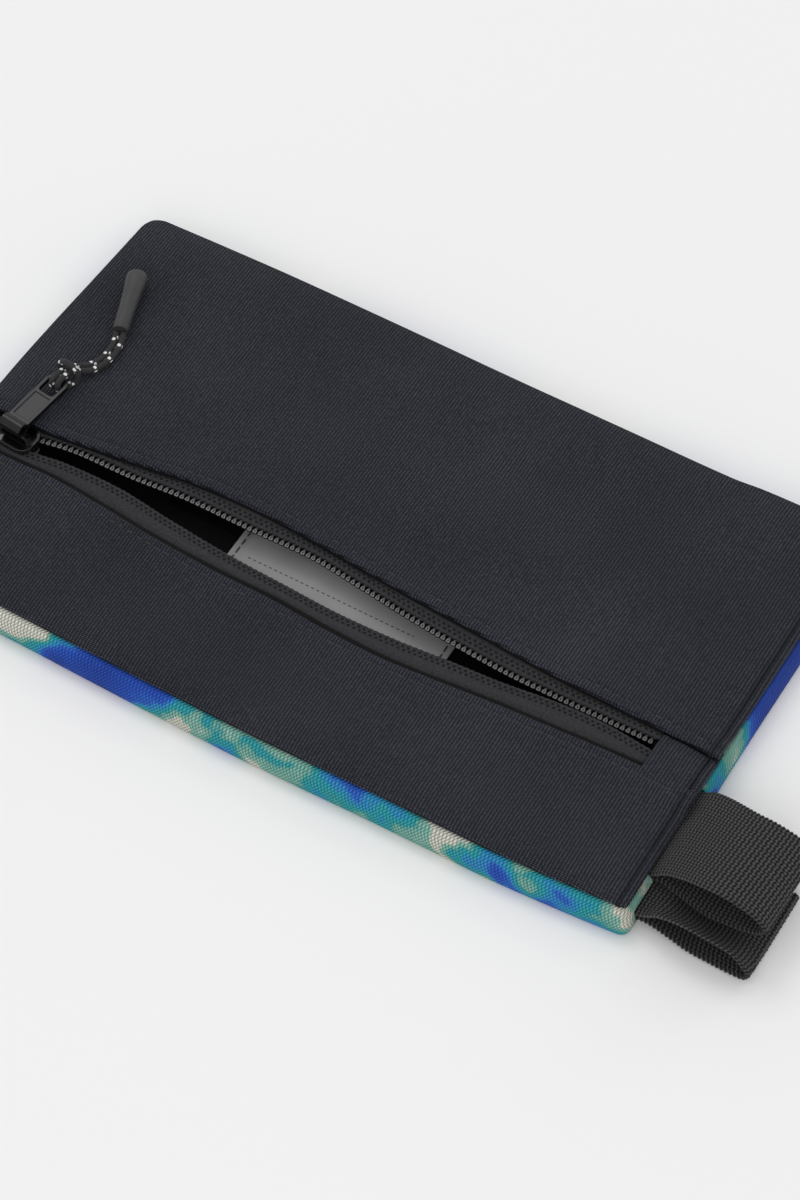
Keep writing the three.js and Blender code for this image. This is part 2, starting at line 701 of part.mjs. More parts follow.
// Plan of a slider plate: a narrow tail, wide shoulders and a rounded nose
function sliderPlate(bottom, thickness, shareOfWidth) {
  const half = SLIDER_WIDTH / 2 * shareOfWidth;
  const tail = SLIDER_TAIL_WIDTH / 2 * shareOfWidth;
  const back = -SLIDER_LENGTH / 2;
  const shoulder = SLIDER_LENGTH / 2 - half * 0.8;
  const shape = new THREE.Shape();
  shape.moveTo(back, -tail);
  shape.lineTo(shoulder, -half);
  shape.bezierCurveTo(shoulder + half * 0.6, -half, -back, -half * 0.5, -back, 0);
  shape.bezierCurveTo(-back, half * 0.5, shoulder + half * 0.6, half, shoulder, half);
  shape.lineTo(back, tail);
  shape.closePath();
  const geometry = new THREE.ExtrudeGeometry(shape, {
    depth: thickness,
    bevelEnabled: false,
    curveSegments: 6,
  });
  return geometry.translate(sliderX, sliderY, bottom);
}

// The bail: a wire that rises from the plate, runs straight as the pull's hinge pin and
// returns
function bail() {
  const corner = BAIL_WIRE / 2;
  const foot = topPlateBottom - hinge.z + SLIDER_PLATE / 2;
  const path = new THREE.CurvePath();
  const at = (x, z) => new THREE.Vector3(x, 0, z);
  path.add(new THREE.LineCurve3(at(-bailHalfSpan, foot), at(-bailHalfSpan, -corner)));
  path.add(new THREE.QuadraticBezierCurve3(
    at(-bailHalfSpan, -corner), at(-bailHalfSpan, 0), at(-bailHalfSpan + corner, 0),
  ));
  path.add(new THREE.LineCurve3(at(-bailHalfSpan + corner, 0), at(bailHalfSpan - corner, 0)));
  path.add(new THREE.QuadraticBezierCurve3(
    at(bailHalfSpan - corner, 0), at(bailHalfSpan, 0), at(bailHalfSpan, -corner),
  ));
  path.add(new THREE.LineCurve3(at(bailHalfSpan, -corner), at(bailHalfSpan, foot)));
  const geometry = new THREE.ExtrudeGeometry(roundSection(BAIL_WIRE / 2, WIRE_SIDES), {
    steps: 26,
    extrudePath: path,
    bevelEnabled: false,
  });
  geometry.rotateZ(bailTurn);
  return geometry.translate(hinge.x, hinge.y, hinge.z);
}

function roundSection(radius, sides) {
  const points = [];
  for (let side = 0; side < sides; side += 1) {
    const angle = side / sides * 2 * Math.PI;
    points.push(new THREE.Vector2(radius * Math.cos(angle), radius * Math.sin(angle)));
  }
  return new THREE.Shape(points);
}

function zipSlider() {
  const nose = sliderX + SLIDER_LENGTH / 2;
  const post = box(
    nose - GAP - SLIDER_POST_LENGTH, nose - GAP,
    sliderY - SLIDER_POST_WIDTH / 2, sliderY + SLIDER_POST_WIDTH / 2,
    bottomPlateTop - SLIDER_PLATE / 2, topPlateBottom + SLIDER_PLATE / 2,
  );
  const solid = solidOf(sliderPlate(topPlateBottom, SLIDER_PLATE, 1))
    .add(solidOf(sliderPlate(bottomPlateTop - SLIDER_PLATE, SLIDER_PLATE, 0.94)))
    .add(solidOf(post))
    .add(solidOf(bail()));
  return geometryOf(solid);
}

// The metal tab: a rimmed plate with a hole at its far end and a barrel round the bail
function pullTab() {
  const half = TAB_WIDTH / 2;
  const eyeRadius = BAIL_WIRE / 2 + EYE_CLEARANCE + EYE_WALL;
  const shape = new THREE.Shape();
  shape.moveTo(-half, 0);
  shape.lineTo(half, 0);
  shape.lineTo(half, TAB_LENGTH - half);
  const bend = half * TAB_CORNER_SHARE;
  const flat = half - bend;
  const near = TAB_LENGTH - half * TAB_PULL_SHARE;
  shape.bezierCurveTo(half, near, bend, TAB_LENGTH, flat, TAB_LENGTH);
  shape.lineTo(-flat, TAB_LENGTH);
  shape.bezierCurveTo(-bend, TAB_LENGTH, -half, near, -half, TAB_LENGTH - half);
  shape.closePath();
  const holeFar = TAB_LENGTH - TAB_BAR;
  const holeNear = holeFar - TAB_HOLE_LENGTH;
  const inside = half - TAB_RIM;
  const hole = new THREE.Path();
  hole.moveTo(-inside, holeNear);
  hole.lineTo(inside, holeNear);
  hole.lineTo(inside, holeFar - inside * HOLE_CUT_SHARE);
  hole.lineTo(inside * HOLE_CORNER_SHARE, holeFar);
  hole.lineTo(-inside * HOLE_CORNER_SHARE, holeFar);
  hole.lineTo(-inside, holeFar - inside * HOLE_CUT_SHARE);
  hole.closePath();
  shape.holes.push(hole);
  const plate = new THREE.ExtrudeGeometry(shape, {
    depth: TAB_THICKNESS,
    bevelEnabled: false,
    curveSegments: 5,
  }).translate(0, 0, -TAB_THICKNESS / 2);
  const recess = (level) => solidOf(box(
    -inside, inside, eyeRadius + TAB_RIM, holeNear - TAB_RIM, level - TAB_RECESS, level + TAB_RECESS,
  ));
  const barrel = new THREE.CylinderGeometry(eyeRadius, eyeRadius, TAB_WIDTH, EYE_SIDES)
    .rotateZ(Math.PI / 2);
  const bore = new THREE.CylinderGeometry(
    eyeRadius - EYE_WALL, eyeRadius - EYE_WALL, TAB_WIDTH + 2 * EYE_CLEARANCE, EYE_SIDES,
  ).rotateZ(Math.PI / 2);
  const solid = solidOf(plate)
    .subtract(recess(TAB_THICKNESS / 2))
    .subtract(recess(-TAB_THICKNESS / 2))
    .add(solidOf(barrel))
    .subtract(solidOf(bore));
  return geometryOf(solid);
}

// The cord's route in the pull's own frame: X along the hinge, Y along the tab, Z up from the
// hinge. It runs from the moulded end into the hitch, round it, and back beside itself.
function cordRoute() {
  const strand = (hand) => TAIL_SECTIONS.map((row) => {
    const turn = THREE.MathUtils.degToRad(row.turnDeg);
    const aside = hand * row.apart * CORD_DIAMETER / 2;
    return new THREE.Vector3(
      row.side * PULL_TAIL_LENGTH + aside * Math.cos(turn),
      TAB_LENGTH + row.along * PULL_TAIL_LENGTH + aside * Math.sin(turn),
      row.up * CORD_DIAMETER,
    );
  });
  const half = (hand) => HITCH_SECTIONS.map((row) => new THREE.Vector3(
    hand * row.side * CORD_DIAMETER,
    TAB_LENGTH + row.along * CORD_DIAMETER,
    row.up * CORD_DIAMETER,
  ));
  return [
    ...strand(-1).reverse(), ...half(-1).reverse(), ...half(1).slice(1), ...strand(1),
  ];
}

// The cord is one round tube along its route
function pullCord() {
  const path = new THREE.CatmullRomCurve3(cordRoute());
  return new THREE.ExtrudeGeometry(roundSection(CORD_DIAMETER / 2, CORD_SIDES), {
    steps: CORD_STEPS,
    extrudePath: path,
    bevelEnabled: false,
  });
}

// The moulded end, lying on the canvas in line with the cord's two ends
function pullEnd() {
  const route = cordRoute();
  const mouth = route[0].clone().add(route[route.length - 1]).divideScalar(2);
  const turn = THREE.MathUtils.degToRad(PULL_END_TURN_DEG);
  const along = new THREE.Vector3(-Math.sin(turn), Math.cos(turn), 0);
  const across = new THREE.Vector3(Math.cos(turn), Math.sin(turn), 0);
  const start = mouth.addScaledVector(along, GAP);
  const rest = start.z - PULL_END_HEIGHT * PULL_END_SECTIONS[0].high / 2;
  const rings = PULL_END_SECTIONS.map((row) => {
    const halfWide = PULL_END_WIDTH * row.wide / 2;
    const halfHigh = PULL_END_HEIGHT * row.high / 2;
    const ring = [];
    for (let side = 0; side < END_SIDES; side += 1) {
      const angle = side / END_SIDES * 2 * Math.PI;
      const middle = start.clone().addScaledVector(along, PULL_END_LENGTH * row.at);
      middle.addScaledVector(across, halfWide * Math.cos(angle));
      middle.z = rest + PULL_END_HEIGHT / 2 + halfHigh * Math.sin(angle);
      ring.push(middle);
    }
    return ring;
  });
  return ringSolid(rings);
}

// The pull as it lies: the tab, its cord and the moulded end turn together on the bail
function pull() {
  const group = new THREE.Group();
  group.position.copy(hinge);
  group.rotation.z = bailTurn;
  group.add(namedMesh('pull_tab', pullTab(), 'gunmetal'));
  group.add(namedMesh('pull_cord', pullCord(), 'cord'));
  group.add(namedMesh('pull_end', pullEnd(), 'rubber'));
  return group;
}

// A strip of webbing folded in two, with both ends in the side seam. across is 0 at its near
// edge and 1 at its far edge.
function webbingLoop(section, rootTop, placeOf) {
  const half = WEBBING_THICKNESS / 2;
  const rootX = seam.right;
  const curveAt = (across) => {
    const points = [
      [rootX - LOOP_ROOT, 0, rootTop - half],
      [rootX, 0, rootTop - half],
    ];
    for (const row of section) {
      points.push([rootX + half + (LOOP_REACH - half) * row.along, row.along, row.height]);
    }
    const placed = points.map(([x, along, height], index) => (index < 2
      ? new THREE.Vector3(x, placeOf(0, 0, across).y, height)
      : new THREE.Vector3(x, placeOf(along, height, across).y, placeOf(along, height, across).z)));
    const low = rootTop - rootThickness + half;
    placed.push(new THREE.Vector3(rootX, placeOf(0, 0, across).y, low));
    placed.push(new THREE.Vector3(rootX - LOOP_ROOT, placeOf(0, 0, across).y, low));
    return new THREE.CatmullRomCurve3(placed, false, 'centripetal');
  };
  const rows = [];
  for (let row = 0; row <= LOOP_ROWS; row += 1) {
    const curve = curveAt(row / LOOP_ROWS);
    const column = [];
    for (let step = 0; step <= LOOP_STEPS; step += 1) {
      const point = curve.getPointAt(step / LOOP_STEPS);
      const tangent = curve.getTangentAt(step / LOOP_STEPS);
      const normal = new THREE.Vector3(-tangent.z, 0, tangent.x).normalize();
      column.push({
        upper: point.clone().addScaledVector(normal, half),
        lower: point.clone().addScaledVector(normal, -half),
      });
    }
    rows.push(column);
  }
  return sheetSolid(rows);
}

// Goes from 0 at the seam to 1 at a share of the way, and stays there
function easeOver(value, share) {
  return Math.sin(Math.min(value / share, 1) * Math.PI / 2);
}

// The upper loop leans on the lower one: its near edge is high, its far edge low
function upperLoopPlace(along, height, across) {
  const half = WEBBING_THICKNESS / 2;
  const out = easeOver(along, LOOP_EASE);
  const tilt = THREE.MathUtils.lerp(LOW_LEG_TILT, UPPER_LOOP_TILT, height);
  return {
    y: upperLoopEdge + across * WEBBING_WIDTH - UPPER_LOOP_SKEW * out * out,
    z: UPPER_LOOP_LIFT + half + (UPPER_LOOP_HEIGHT - 2 * half) * height
      + tilt * out * (1 - across),
  };
}

// The lower loop rests on the ground and is pressed flat where the upper one leans on it
function lowerLoopPlace(along, height, across) {
  const half = WEBBING_THICKNESS / 2;
  const reach = easeOver(along, PINCH_EASE_ALONG) * easeOver(across, PINCH_EASE_ACROSS);
  const pinch = LOWER_LOOP_PINCH * reach;
  const out = easeOver(along, LOOP_EASE);
  return {
    y: lowerLoopEdge + across * WEBBING_WIDTH - LOWER_LOOP_SKEW * out * out,
    z: GAP + half + (LOWER_LOOP_HEIGHT - 2 * half - pinch) * height,
  };
}

// The write-on label, sewn flat on the inside of the back
function nameLabel() {
  const bottom = CANVAS + GAP;
  return box(
    LABEL_X - LABEL_LENGTH / 2, LABEL_X + LABEL_LENGTH / 2,
    labelY - LABEL_WIDTH / 2, labelY + LABEL_WIDTH / 2,
    bottom, bottom + LABEL_THICKNESS,
  );
}

function pencilCase() {
  const farFold = (x) => zipAt(x).farFold;
  const nearFold = (x) => zipAt(x).nearFold;
  const group = new THREE.Group();
  group.add(namedMesh('back_panel', backPanel(), 'printedCanvas'));
  group.add(namedMesh('far_panel', blackPanel(farFold, seam.far), 'blackCanvas'));
  group.add(namedMesh('near_panel', blackPanel(nearFold, seam.near), 'blackCanvas'));
  group.add(namedMesh('zip_end_right', zipEnd(zipRight, seam.right), 'blackCanvas'));
  group.add(namedMesh('zip_end_left', zipEnd(seam.left, zipLeft), 'blackCanvas'));
  group.add(namedMesh('zip_tape_far', zipTape(1), 'zipTape'));
  group.add(namedMesh('zip_tape_near', zipTape(-1), 'zipTape'));
  group.add(namedMesh('zip_teeth_far', zipTeeth(1), 'zipTeeth'));
  group.add(namedMesh('zip_teeth_near', zipTeeth(-1), 'zipTeeth'));
  group.add(namedMesh('zip_slider', zipSlider(), 'gunmetal'));
  group.add(pull());
  group.add(namedMesh('name_label', nameLabel(), 'label'));
  group.add(namedMesh(
    'loop_upper', webbingLoop(UPPER_LOOP_SECTION, upperRootTop, upperLoopPlace), 'webbing',
  ));
  group.add(namedMesh(
    'loop_lower', webbingLoop(LOWER_LOOP_SECTION, lowerRootTop, lowerLoopPlace), 'webbing',
  ));
  return group;
}

export default pencilCase();
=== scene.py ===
# %% [markdown]
# # A flat zip pencil case
# The real thing is a small pouch: a printed canvas back that wraps up round its four sides, a
# black canvas top in two panels with a zip between them, a metal pull with a hitched cord, a
# write-on label inside and two loops of webbing in one end seam. It lies on its back with the
# zip partly open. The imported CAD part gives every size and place. Here each piece gets its fine
# shape and its finish.

# %% Tools, and the fixed frame
import math

import bmesh
import bpy
import numpy as np
from mathutils import Matrix, Vector


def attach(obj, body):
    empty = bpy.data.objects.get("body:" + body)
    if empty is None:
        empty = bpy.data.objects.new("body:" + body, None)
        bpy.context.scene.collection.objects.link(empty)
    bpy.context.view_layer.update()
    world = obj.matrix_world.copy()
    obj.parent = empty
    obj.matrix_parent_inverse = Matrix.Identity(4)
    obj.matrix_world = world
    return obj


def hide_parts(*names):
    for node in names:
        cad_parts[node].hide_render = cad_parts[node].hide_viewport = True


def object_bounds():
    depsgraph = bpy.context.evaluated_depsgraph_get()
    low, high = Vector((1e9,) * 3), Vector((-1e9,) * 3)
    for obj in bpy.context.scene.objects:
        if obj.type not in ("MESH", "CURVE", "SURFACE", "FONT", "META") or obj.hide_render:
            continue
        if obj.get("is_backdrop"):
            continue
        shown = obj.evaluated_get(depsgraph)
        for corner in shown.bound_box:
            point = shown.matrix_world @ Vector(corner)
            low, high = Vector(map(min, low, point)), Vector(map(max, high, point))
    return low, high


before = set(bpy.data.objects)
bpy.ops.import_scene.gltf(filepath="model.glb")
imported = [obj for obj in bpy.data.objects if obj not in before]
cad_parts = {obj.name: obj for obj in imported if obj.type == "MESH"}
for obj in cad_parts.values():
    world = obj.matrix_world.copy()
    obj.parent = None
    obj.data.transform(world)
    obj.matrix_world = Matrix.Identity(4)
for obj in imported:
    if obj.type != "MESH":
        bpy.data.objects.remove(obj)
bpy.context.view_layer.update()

# %% [markdown]
# ## Sizes
# Cloth is easiest to think of in millimetres, so every length below is in millimetres and each
# mesh is scaled to metres once, when it is made. The values repeat those of the CAD part, which
# this script can't read.

# %% Sizes shared with the CAD part
MM = 0.001
HALF_LENGTH, HALF_WIDTH = 102.5, 63.0
CORNER_RADIUS, CANVAS, GAP = 5.0, 1.0, 0.3
SEAM_HEIGHT, SEAM_ALLOWANCE, EDGE_BOW = 8.3, 3.0, 2.6
INSET = {"left": 1.4, "right": 1.9, "near": 3.2, "far": 1.4}
PUFF, RIM_ROLL, DENT_DEPTH = 1.5, 4.0, 0.6
FOLD_LIFT, FOLD_THICKNESS, UNDER_ROUND = 0.4, 1.6, 0.45
ZIP_OFFSET, MOUTH_WIDTH = 15.0, 9.6
TAPE_SHOWN = {1: 4.0, -1: 7.0}
TAPE_THICKNESS, TAPE_UNDER_CANVAS = 0.6, 7.0
TOOTH_PITCH, TEETH_THICKNESS = 1.45, 1.2
ZIP_RIGHT_END, ZIP_LEFT_END = 86.4, -95.4
WEBBING_WIDTH, WEBBING_THICKNESS, LEG_GAP = 25.4, 1.2, 0.2
LOOP_REACH, LOOP_ROOT, LOOP_HEIGHT = 29.8, 4.0, 10.6

LIP_TOP = SEAM_HEIGHT - CANVAS - GAP
FOLD_TOP = SEAM_HEIGHT + PUFF + FOLD_LIFT
TAPE_TOP = FOLD_TOP - FOLD_THICKNESS - GAP
TEETH_TOP = TAPE_TOP - TAPE_THICKNESS - GAP
SEAM = {
    "left": -HALF_LENGTH + INSET["left"],
    "right": HALF_LENGTH - INSET["right"],
    "near": -HALF_WIDTH + INSET["near"],
    "far": HALF_WIDTH - INSET["far"],
}

# %% Tables shared with the CAD part
EDGE_ALONG_LENGTH = {
    "at": [-1.0, -0.6, -0.2, 0.05, 0.35, 0.64, 0.72, 0.85, 1.0],
    "near": [0.9, 0.55, 0.15, 0.0, 0.2, 0.25, 0.35, 0.65, 1.1],
    "far": [0.3, 0.0, 0.1, 0.25, 0.3, 0.35, 0.1, 0.0, 0.1],
}
EDGE_ALONG_WIDTH = {
    "at": [-1.0, -0.5, 0.0, 0.3, 0.6, 1.0],
    "left": [0.3, 0.1, 0.0, 0.25, 0.65, 1.15],
    "right": [0.0, 0.1, 0.15, 0.1, 0.1, 0.2],
}
ZIP_SECTIONS = {
    "at": [-0.98, -0.92, -0.875, -0.81, -0.72, -0.57, -0.43, -0.26, -0.09,
           0.05, 0.2, 0.33, 0.46, 0.6, 0.72, 0.84, 0.98],
    "line": [1.04, 1.04, 1.035, 0.99, 0.905, 0.887, 0.907, 0.967, 0.99,
             1.067, 1.12, 1.127, 1.127, 1.075, 1.06, 1.093, 1.13],
    "mouth": [0.0, 0.0, 0.06, 0.35, 0.38, 0.4, 0.7, 0.88, 1.0,
              0.9, 0.66, 0.42, 0.24, 0.06, 0.04, 0.15, 0.15],
    "far": [1.14, 1.14, 1.1, 0.54, 0.4, 0.78, 0.98, 1.15, 0.85,
            0.92, 1.12, 1.22, 1.18, 1.0, 0.9, 0.78, 0.78],
    "near": [0.96, 0.96, 0.93, 0.82, 0.95, 1.14, 1.1, 1.0, 0.91,
             0.96, 1.07, 1.1, 1.06, 1.17, 1.12, 0.93, 0.91],
}
DENTS = [  # middle x, y in half sizes, length and width as shares of the case, turn, depth
    (0.66, 0.9, 0.025, 0.14, -28, 1.0), (0.3, 0.45, 0.24, 0.14, 8, 0.7),
    (-0.45, 0.5, 0.18, 0.18, -12, 0.5), (0.9, 0.1, 0.03, 0.2, 6, 0.6),
    (-0.2, -0.68, 0.24, 0.09, 4, 0.6), (0.62, -0.66, 0.14, 0.09, -10, 0.5),
]
SIDE_SECTION = {
    "out": [0.5, 0.86, 1.0, 0.95, 0.62, 0.12],
    "up": [0.0, 0.07, 0.3, 0.55, 0.82, 1.0],
}


# %% Reading a table on a smooth curve through its rows
def read(table, at, column):
    """The value of one column at each place in at."""
    knots, values = np.array(table["at"]), np.array(table[column])
    last = len(knots) - 1
    slopes = np.array([
        (values[min(i + 1, last)] - values[max(i - 1, 0)]) / (knots[min(i + 1, last)] - knots[max(i - 1, 0)])
        for i in range(last + 1)
    ])
    at = np.clip(np.asarray(at, float), knots[0], knots[-1])
    row = np.clip(np.searchsorted(knots, at) - 1, 0, last - 1)
    span, rise = knots[row + 1] - knots[row], values[row + 1] - values[row]
    t = (at - knots[row]) / span
    pull = (1 - t) * (slopes[row] * span - rise) + t * (rise - slopes[row + 1] * span)
    return values[row] + t * rise + t * (1 - t) * pull


def lay(x, y):
    """Where a point of the true rectangle lies on the sewn case, whose sides wander in."""
    a, b = x / HALF_LENGTH, y / HALF_WIDTH
    sideways = read(EDGE_ALONG_WIDTH, b, "left") * np.maximum(0, -a) ** 2 \
        - read(EDGE_ALONG_WIDTH, b, "right") * np.maximum(0, a) ** 2
    lengthways = read(EDGE_ALONG_LENGTH, a, "near") * np.maximum(0, -b) ** 2 \
        - read(EDGE_ALONG_LENGTH, a, "far") * np.maximum(0, b) ** 2
    return x + EDGE_BOW * sideways, y + EDGE_BOW * lengthways


def zip_at(x):
    """The zip's line, the teeth's tips and the two folds beside it, at each x."""
    at = np.asarray(x, float) / HALF_LENGTH
    line = -ZIP_OFFSET * read(ZIP_SECTIONS, at, "line")
    half = (MOUTH_WIDTH * read(ZIP_SECTIONS, at, "mouth") + GAP) / 2
    teeth = {1: line + half, -1: line - half}
    fold = {1: teeth[1] + TAPE_SHOWN[1] * read(ZIP_SECTIONS, at, "far"),
            -1: teeth[-1] - TAPE_SHOWN[-1] * read(ZIP_SECTIONS, at, "near")}
    return line, teeth, fold


print("mouth at its widest:", round(float(MOUTH_WIDTH * max(ZIP_SECTIONS["mouth"])), 1), "mm")

# %% [markdown]
# ## Camera, floor and light
# The photograph looks down on the case from its near side with a long lens, and its light is so
# soft that only a thin shadow lies round the case. The camera was solved from the case's own
# corners. Three large, gentle lamps and a pale world give that light.

# %% Camera
scene = bpy.context.scene
AZIMUTH, ELEVATION = math.radians(30.355), math.radians(54.199)
back = Vector((math.sin(AZIMUTH) * math.cos(ELEVATION), -math.cos(AZIMUTH) * math.cos(ELEVATION),
               math.sin(ELEVATION)))
camera = bpy.data.objects.new("camera", bpy.data.cameras.new("camera"))
scene.collection.objects.link(camera)
camera.data.sensor_width, camera.data.lens = 36.0, 119.566
camera.location = Vector((0.012295, -0.005138, 0.0)) + back * 0.9371
camera.rotation_mode = "QUATERNION"
camera.rotation_quaternion = (-back).to_track_quat("-Z", "Y")
camera.data.clip_start, camera.data.clip_end = 0.01, 20.0
scene.camera = camera

# %% Floor and lamps
bpy.ops.object.select_all(action="DESELECT")
bpy.ops.mesh.primitive_plane_add(size=6.0, location=(0, 0, 0))
floor = bpy.context.object
floor.name = "floor"
floor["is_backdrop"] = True


def lamp(name, place, size, power, target=(0, 0, 0)):
    """A large soft lamp that faces the case."""
    made = bpy.data.objects.new(name, bpy.data.lights.new(name, "AREA"))
    scene.collection.objects.link(made)
    made.data.shape, made.data.size, made.data.energy = "DISK", size, power
    made.location = place
    made.rotation_mode = "QUATERNION"
    made.rotation_quaternion = (Vector(target) - Vector(place)).to_track_quat("-Z", "Y")
    return made


lamp("key_lamp", (-0.9, 0.7, 1.6), 0.9, 5.6)
lamp("fill_lamp", (0.5, -1.3, 1.1), 1.2, 5.2)
lamp("back_lamp", (0.5, 1.6, 0.9), 0.8, 1.7)
world = bpy.data.worlds.new("studio")
scene.world = world
world.use_nodes = True
world.node_tree.nodes["Background"].inputs["Color"].default_value = (1, 1, 1, 1)
world.node_tree.nodes["Background"].inputs["Strength"].default_value = 0.78
scene.view_settings.view_transform = "Standard"

# %% [markdown]
# ## Shader maths as Python
# A finish is built from patterns: where a thread runs over another, how far a dash reaches.
# Those are sums, so one small class wraps a node's socket and lets plain Python expressions add
# the Math nodes. Everything else comes from one method that takes the node's type, its settings
# and what goes into its sockets.


# %% A socket that can be calculated with
class Signal:
    """The number, colour or vector that leaves one socket of a finish."""

    def __init__(self, finish, socket):
        self.finish, self.socket = finish, socket

    def calculate(self, operation, *values):
        return self.finish.add("ShaderNodeMath", {"operation": operation}, dict(enumerate(values)))

    def __add__(self, other):
        return self.calculate("ADD", self, other)

    def __sub__(self, other):
        return self.calculate("SUBTRACT", self, other)

    def __rsub__(self, other):
        return self.calculate("SUBTRACT", other, self)

    def __mul__(self, other):
        return self.calculate("MULTIPLY", self, other)

    def __truediv__(self, other):
        return self.calculate("DIVIDE", self, other)

    __radd__, __rmul__ = __add__, __mul__

    def __abs__(self):
        return self.calculate("ABSOLUTE", self)

    def sine(self):
        return self.calculate("SINE", self)

    def fraction(self):
        return self.calculate("FRACT", self)

    def most(self, other):
        return self.calculate("MAXIMUM", self, other)

    def ease(self, low, high):
        """0 below low, 1 above high and smooth between; high may be the smaller one."""
        settings = {"interpolation_type": "SMOOTHSTEP"}
        return self.finish.add("ShaderNodeMapRange", settings,
                               {"Value": self, "From Min": low, "From Max": high})

    def near(self, place, width):
        """1 at a place, fading to 0 at width on either side."""
        return abs(self - place).ease(width, 0.0)


class Finish:
    """A material, from its patterns to its shader."""

    def __init__(self, name, **shader):
        self.material = bpy.data.materials.new(name)
        self.material.use_nodes = True
        self.tree = self.material.node_tree
        self.shader = self.tree.nodes["Principled BSDF"]
        self.feed(self.shader, shader)

    def feed(self, node, values):
        for key, value in values.items():
            key = key.replace("_", " ") if isinstance(key, str) else key
            socket = node.inputs[key]
            if isinstance(value, Signal):
                self.tree.links.new(value.socket, socket)
            elif isinstance(value, tuple) and socket.type == "RGBA":
                socket.default_value = (*value, 1.0)
            else:
                socket.default_value = value

    def add(self, kind, settings, values, output=0):
        node = self.tree.nodes.new(kind)
        for key, value in settings.items():
            if key == "stops":
                ramp = node.color_ramp.elements
                while len(ramp) < len(value):
                    ramp.new(0.5)
                for element, (place, colour) in zip(ramp, value):
                    element.position, element.color = place, (*colour, 1.0)
            else:
                setattr(node, key, value)
        self.feed(node, values)
        return Signal(self, node.outputs[output])

    def cloth(self):
        """How far along and across the cloth each point lies, in millimetres."""
        where = self.add("ShaderNodeUVMap", {"uv_map": "cloth"}, {})
        parts = self.tree.nodes.new("ShaderNodeSeparateXYZ")
        self.tree.links.new(where.socket, parts.inputs[0])
        return Signal(self, parts.outputs[0]), Signal(self, parts.outputs[1])

    def place(self):
        return self.add("ShaderNodeTexCoord", {}, {}, "Object")

    def shade(self):
        """How deep each point lies in a fold, a seam or a gap between threads, from 0 to 1: painted shade,
        which darkens the colour there.
        """
        return self.add("ShaderNodeAttribute", {"attribute_name": "shade"}, {}, "Fac")

    def noise(self, scale, detail=3.0, roughness=0.5, where=None):
        values = {"Vector": where or self.place(), "Scale": scale, "Detail": detail,
                  "Roughness": roughness}
        return self.add("ShaderNodeTexNoise", {}, values)

    def mix(self, factor, low, high, blend="MIX"):
        node = self.tree.nodes.new("ShaderNodeMix")
        node.data_type, node.blend_type = "RGBA", blend
        self.feed(node, {0: factor, 6: low, 7: high})
        return Signal(self, node.outputs[2])

    def ramp(self, factor, *stops):
        return self.add("ShaderNodeValToRGB", {"stops": stops}, {"Fac": factor})

    def bump(self, height, distance, strength=1.0):
        """Raises the surface by height, whose 1 is distance metres."""
        bumped = self.add("ShaderNodeBump", {}, {"Height": height, "Distance": distance,
                                                 "Strength": strength})
        self.feed(self.shader, {"Normal": bumped})


# %% [markdown]
# ## Woven finishes
# Canvas, tape and webbing are the same idea at different sizes: one set of threads runs along,
# one across, and they take turns on top. Two sines give the threads' round backs, and the sign
# of their product says which one is over the other. The cloth's own UV map is in millimetres,
# so one number sets the thread's pitch.


# %% A plain weave
def weave(along, across, pitch, across_pitch=None):
    """The height of a plain weave, 0 between threads and 1 on their backs."""
    first = (along * (math.pi / pitch)).sine()
    second = (across * (math.pi / (across_pitch or pitch))).sine()
    over = (first * second).ease(-0.15, 0.15)
    up, down = abs(first), abs(second)
    return over * up * (down * 0.45 + 0.55) + (1 - over) * down * (up * 0.45 + 0.55)


def black_canvas():
    made = Finish("black_canvas", Roughness=0.85)
    along, across = made.cloth()
    wander = made.noise(60.0, 2.0) * 0.5
    threads = weave(along + wander, across + wander, 0.8, 0.46)
    melange = made.noise(1700.0, 2.0)
    worn = made.noise(28.0, 4.0)
    # Thread backs are lighter and the gaps between threads darker: painted highlight and painted shade of the
    # weave. The two noises are the cloth's own uneven tone.
    light = (threads * 0.7 + melange * 0.6 + worn * 0.25 - 0.3).ease(0.05, 1.1)
    colour = made.ramp(light, (0.0, (0.003, 0.0034, 0.0055)), (0.5, (0.0145, 0.0163, 0.0242)),
                       (1.0, (0.082, 0.087, 0.114)))
    # Painted shade from the shade attribute: the folds, the right seam's groove and the stitch row's needle
    # holes are darkened.
    colour = made.mix(made.shade() * 0.92, colour, (0.002, 0.002, 0.003))
    made.feed(made.shader, {"Base Color": colour, "Specular IOR Level": 0.25,
                            "Roughness": 0.92 - threads * 0.18})
    made.bump(threads + melange * 0.4, 0.00024)
    return made.material


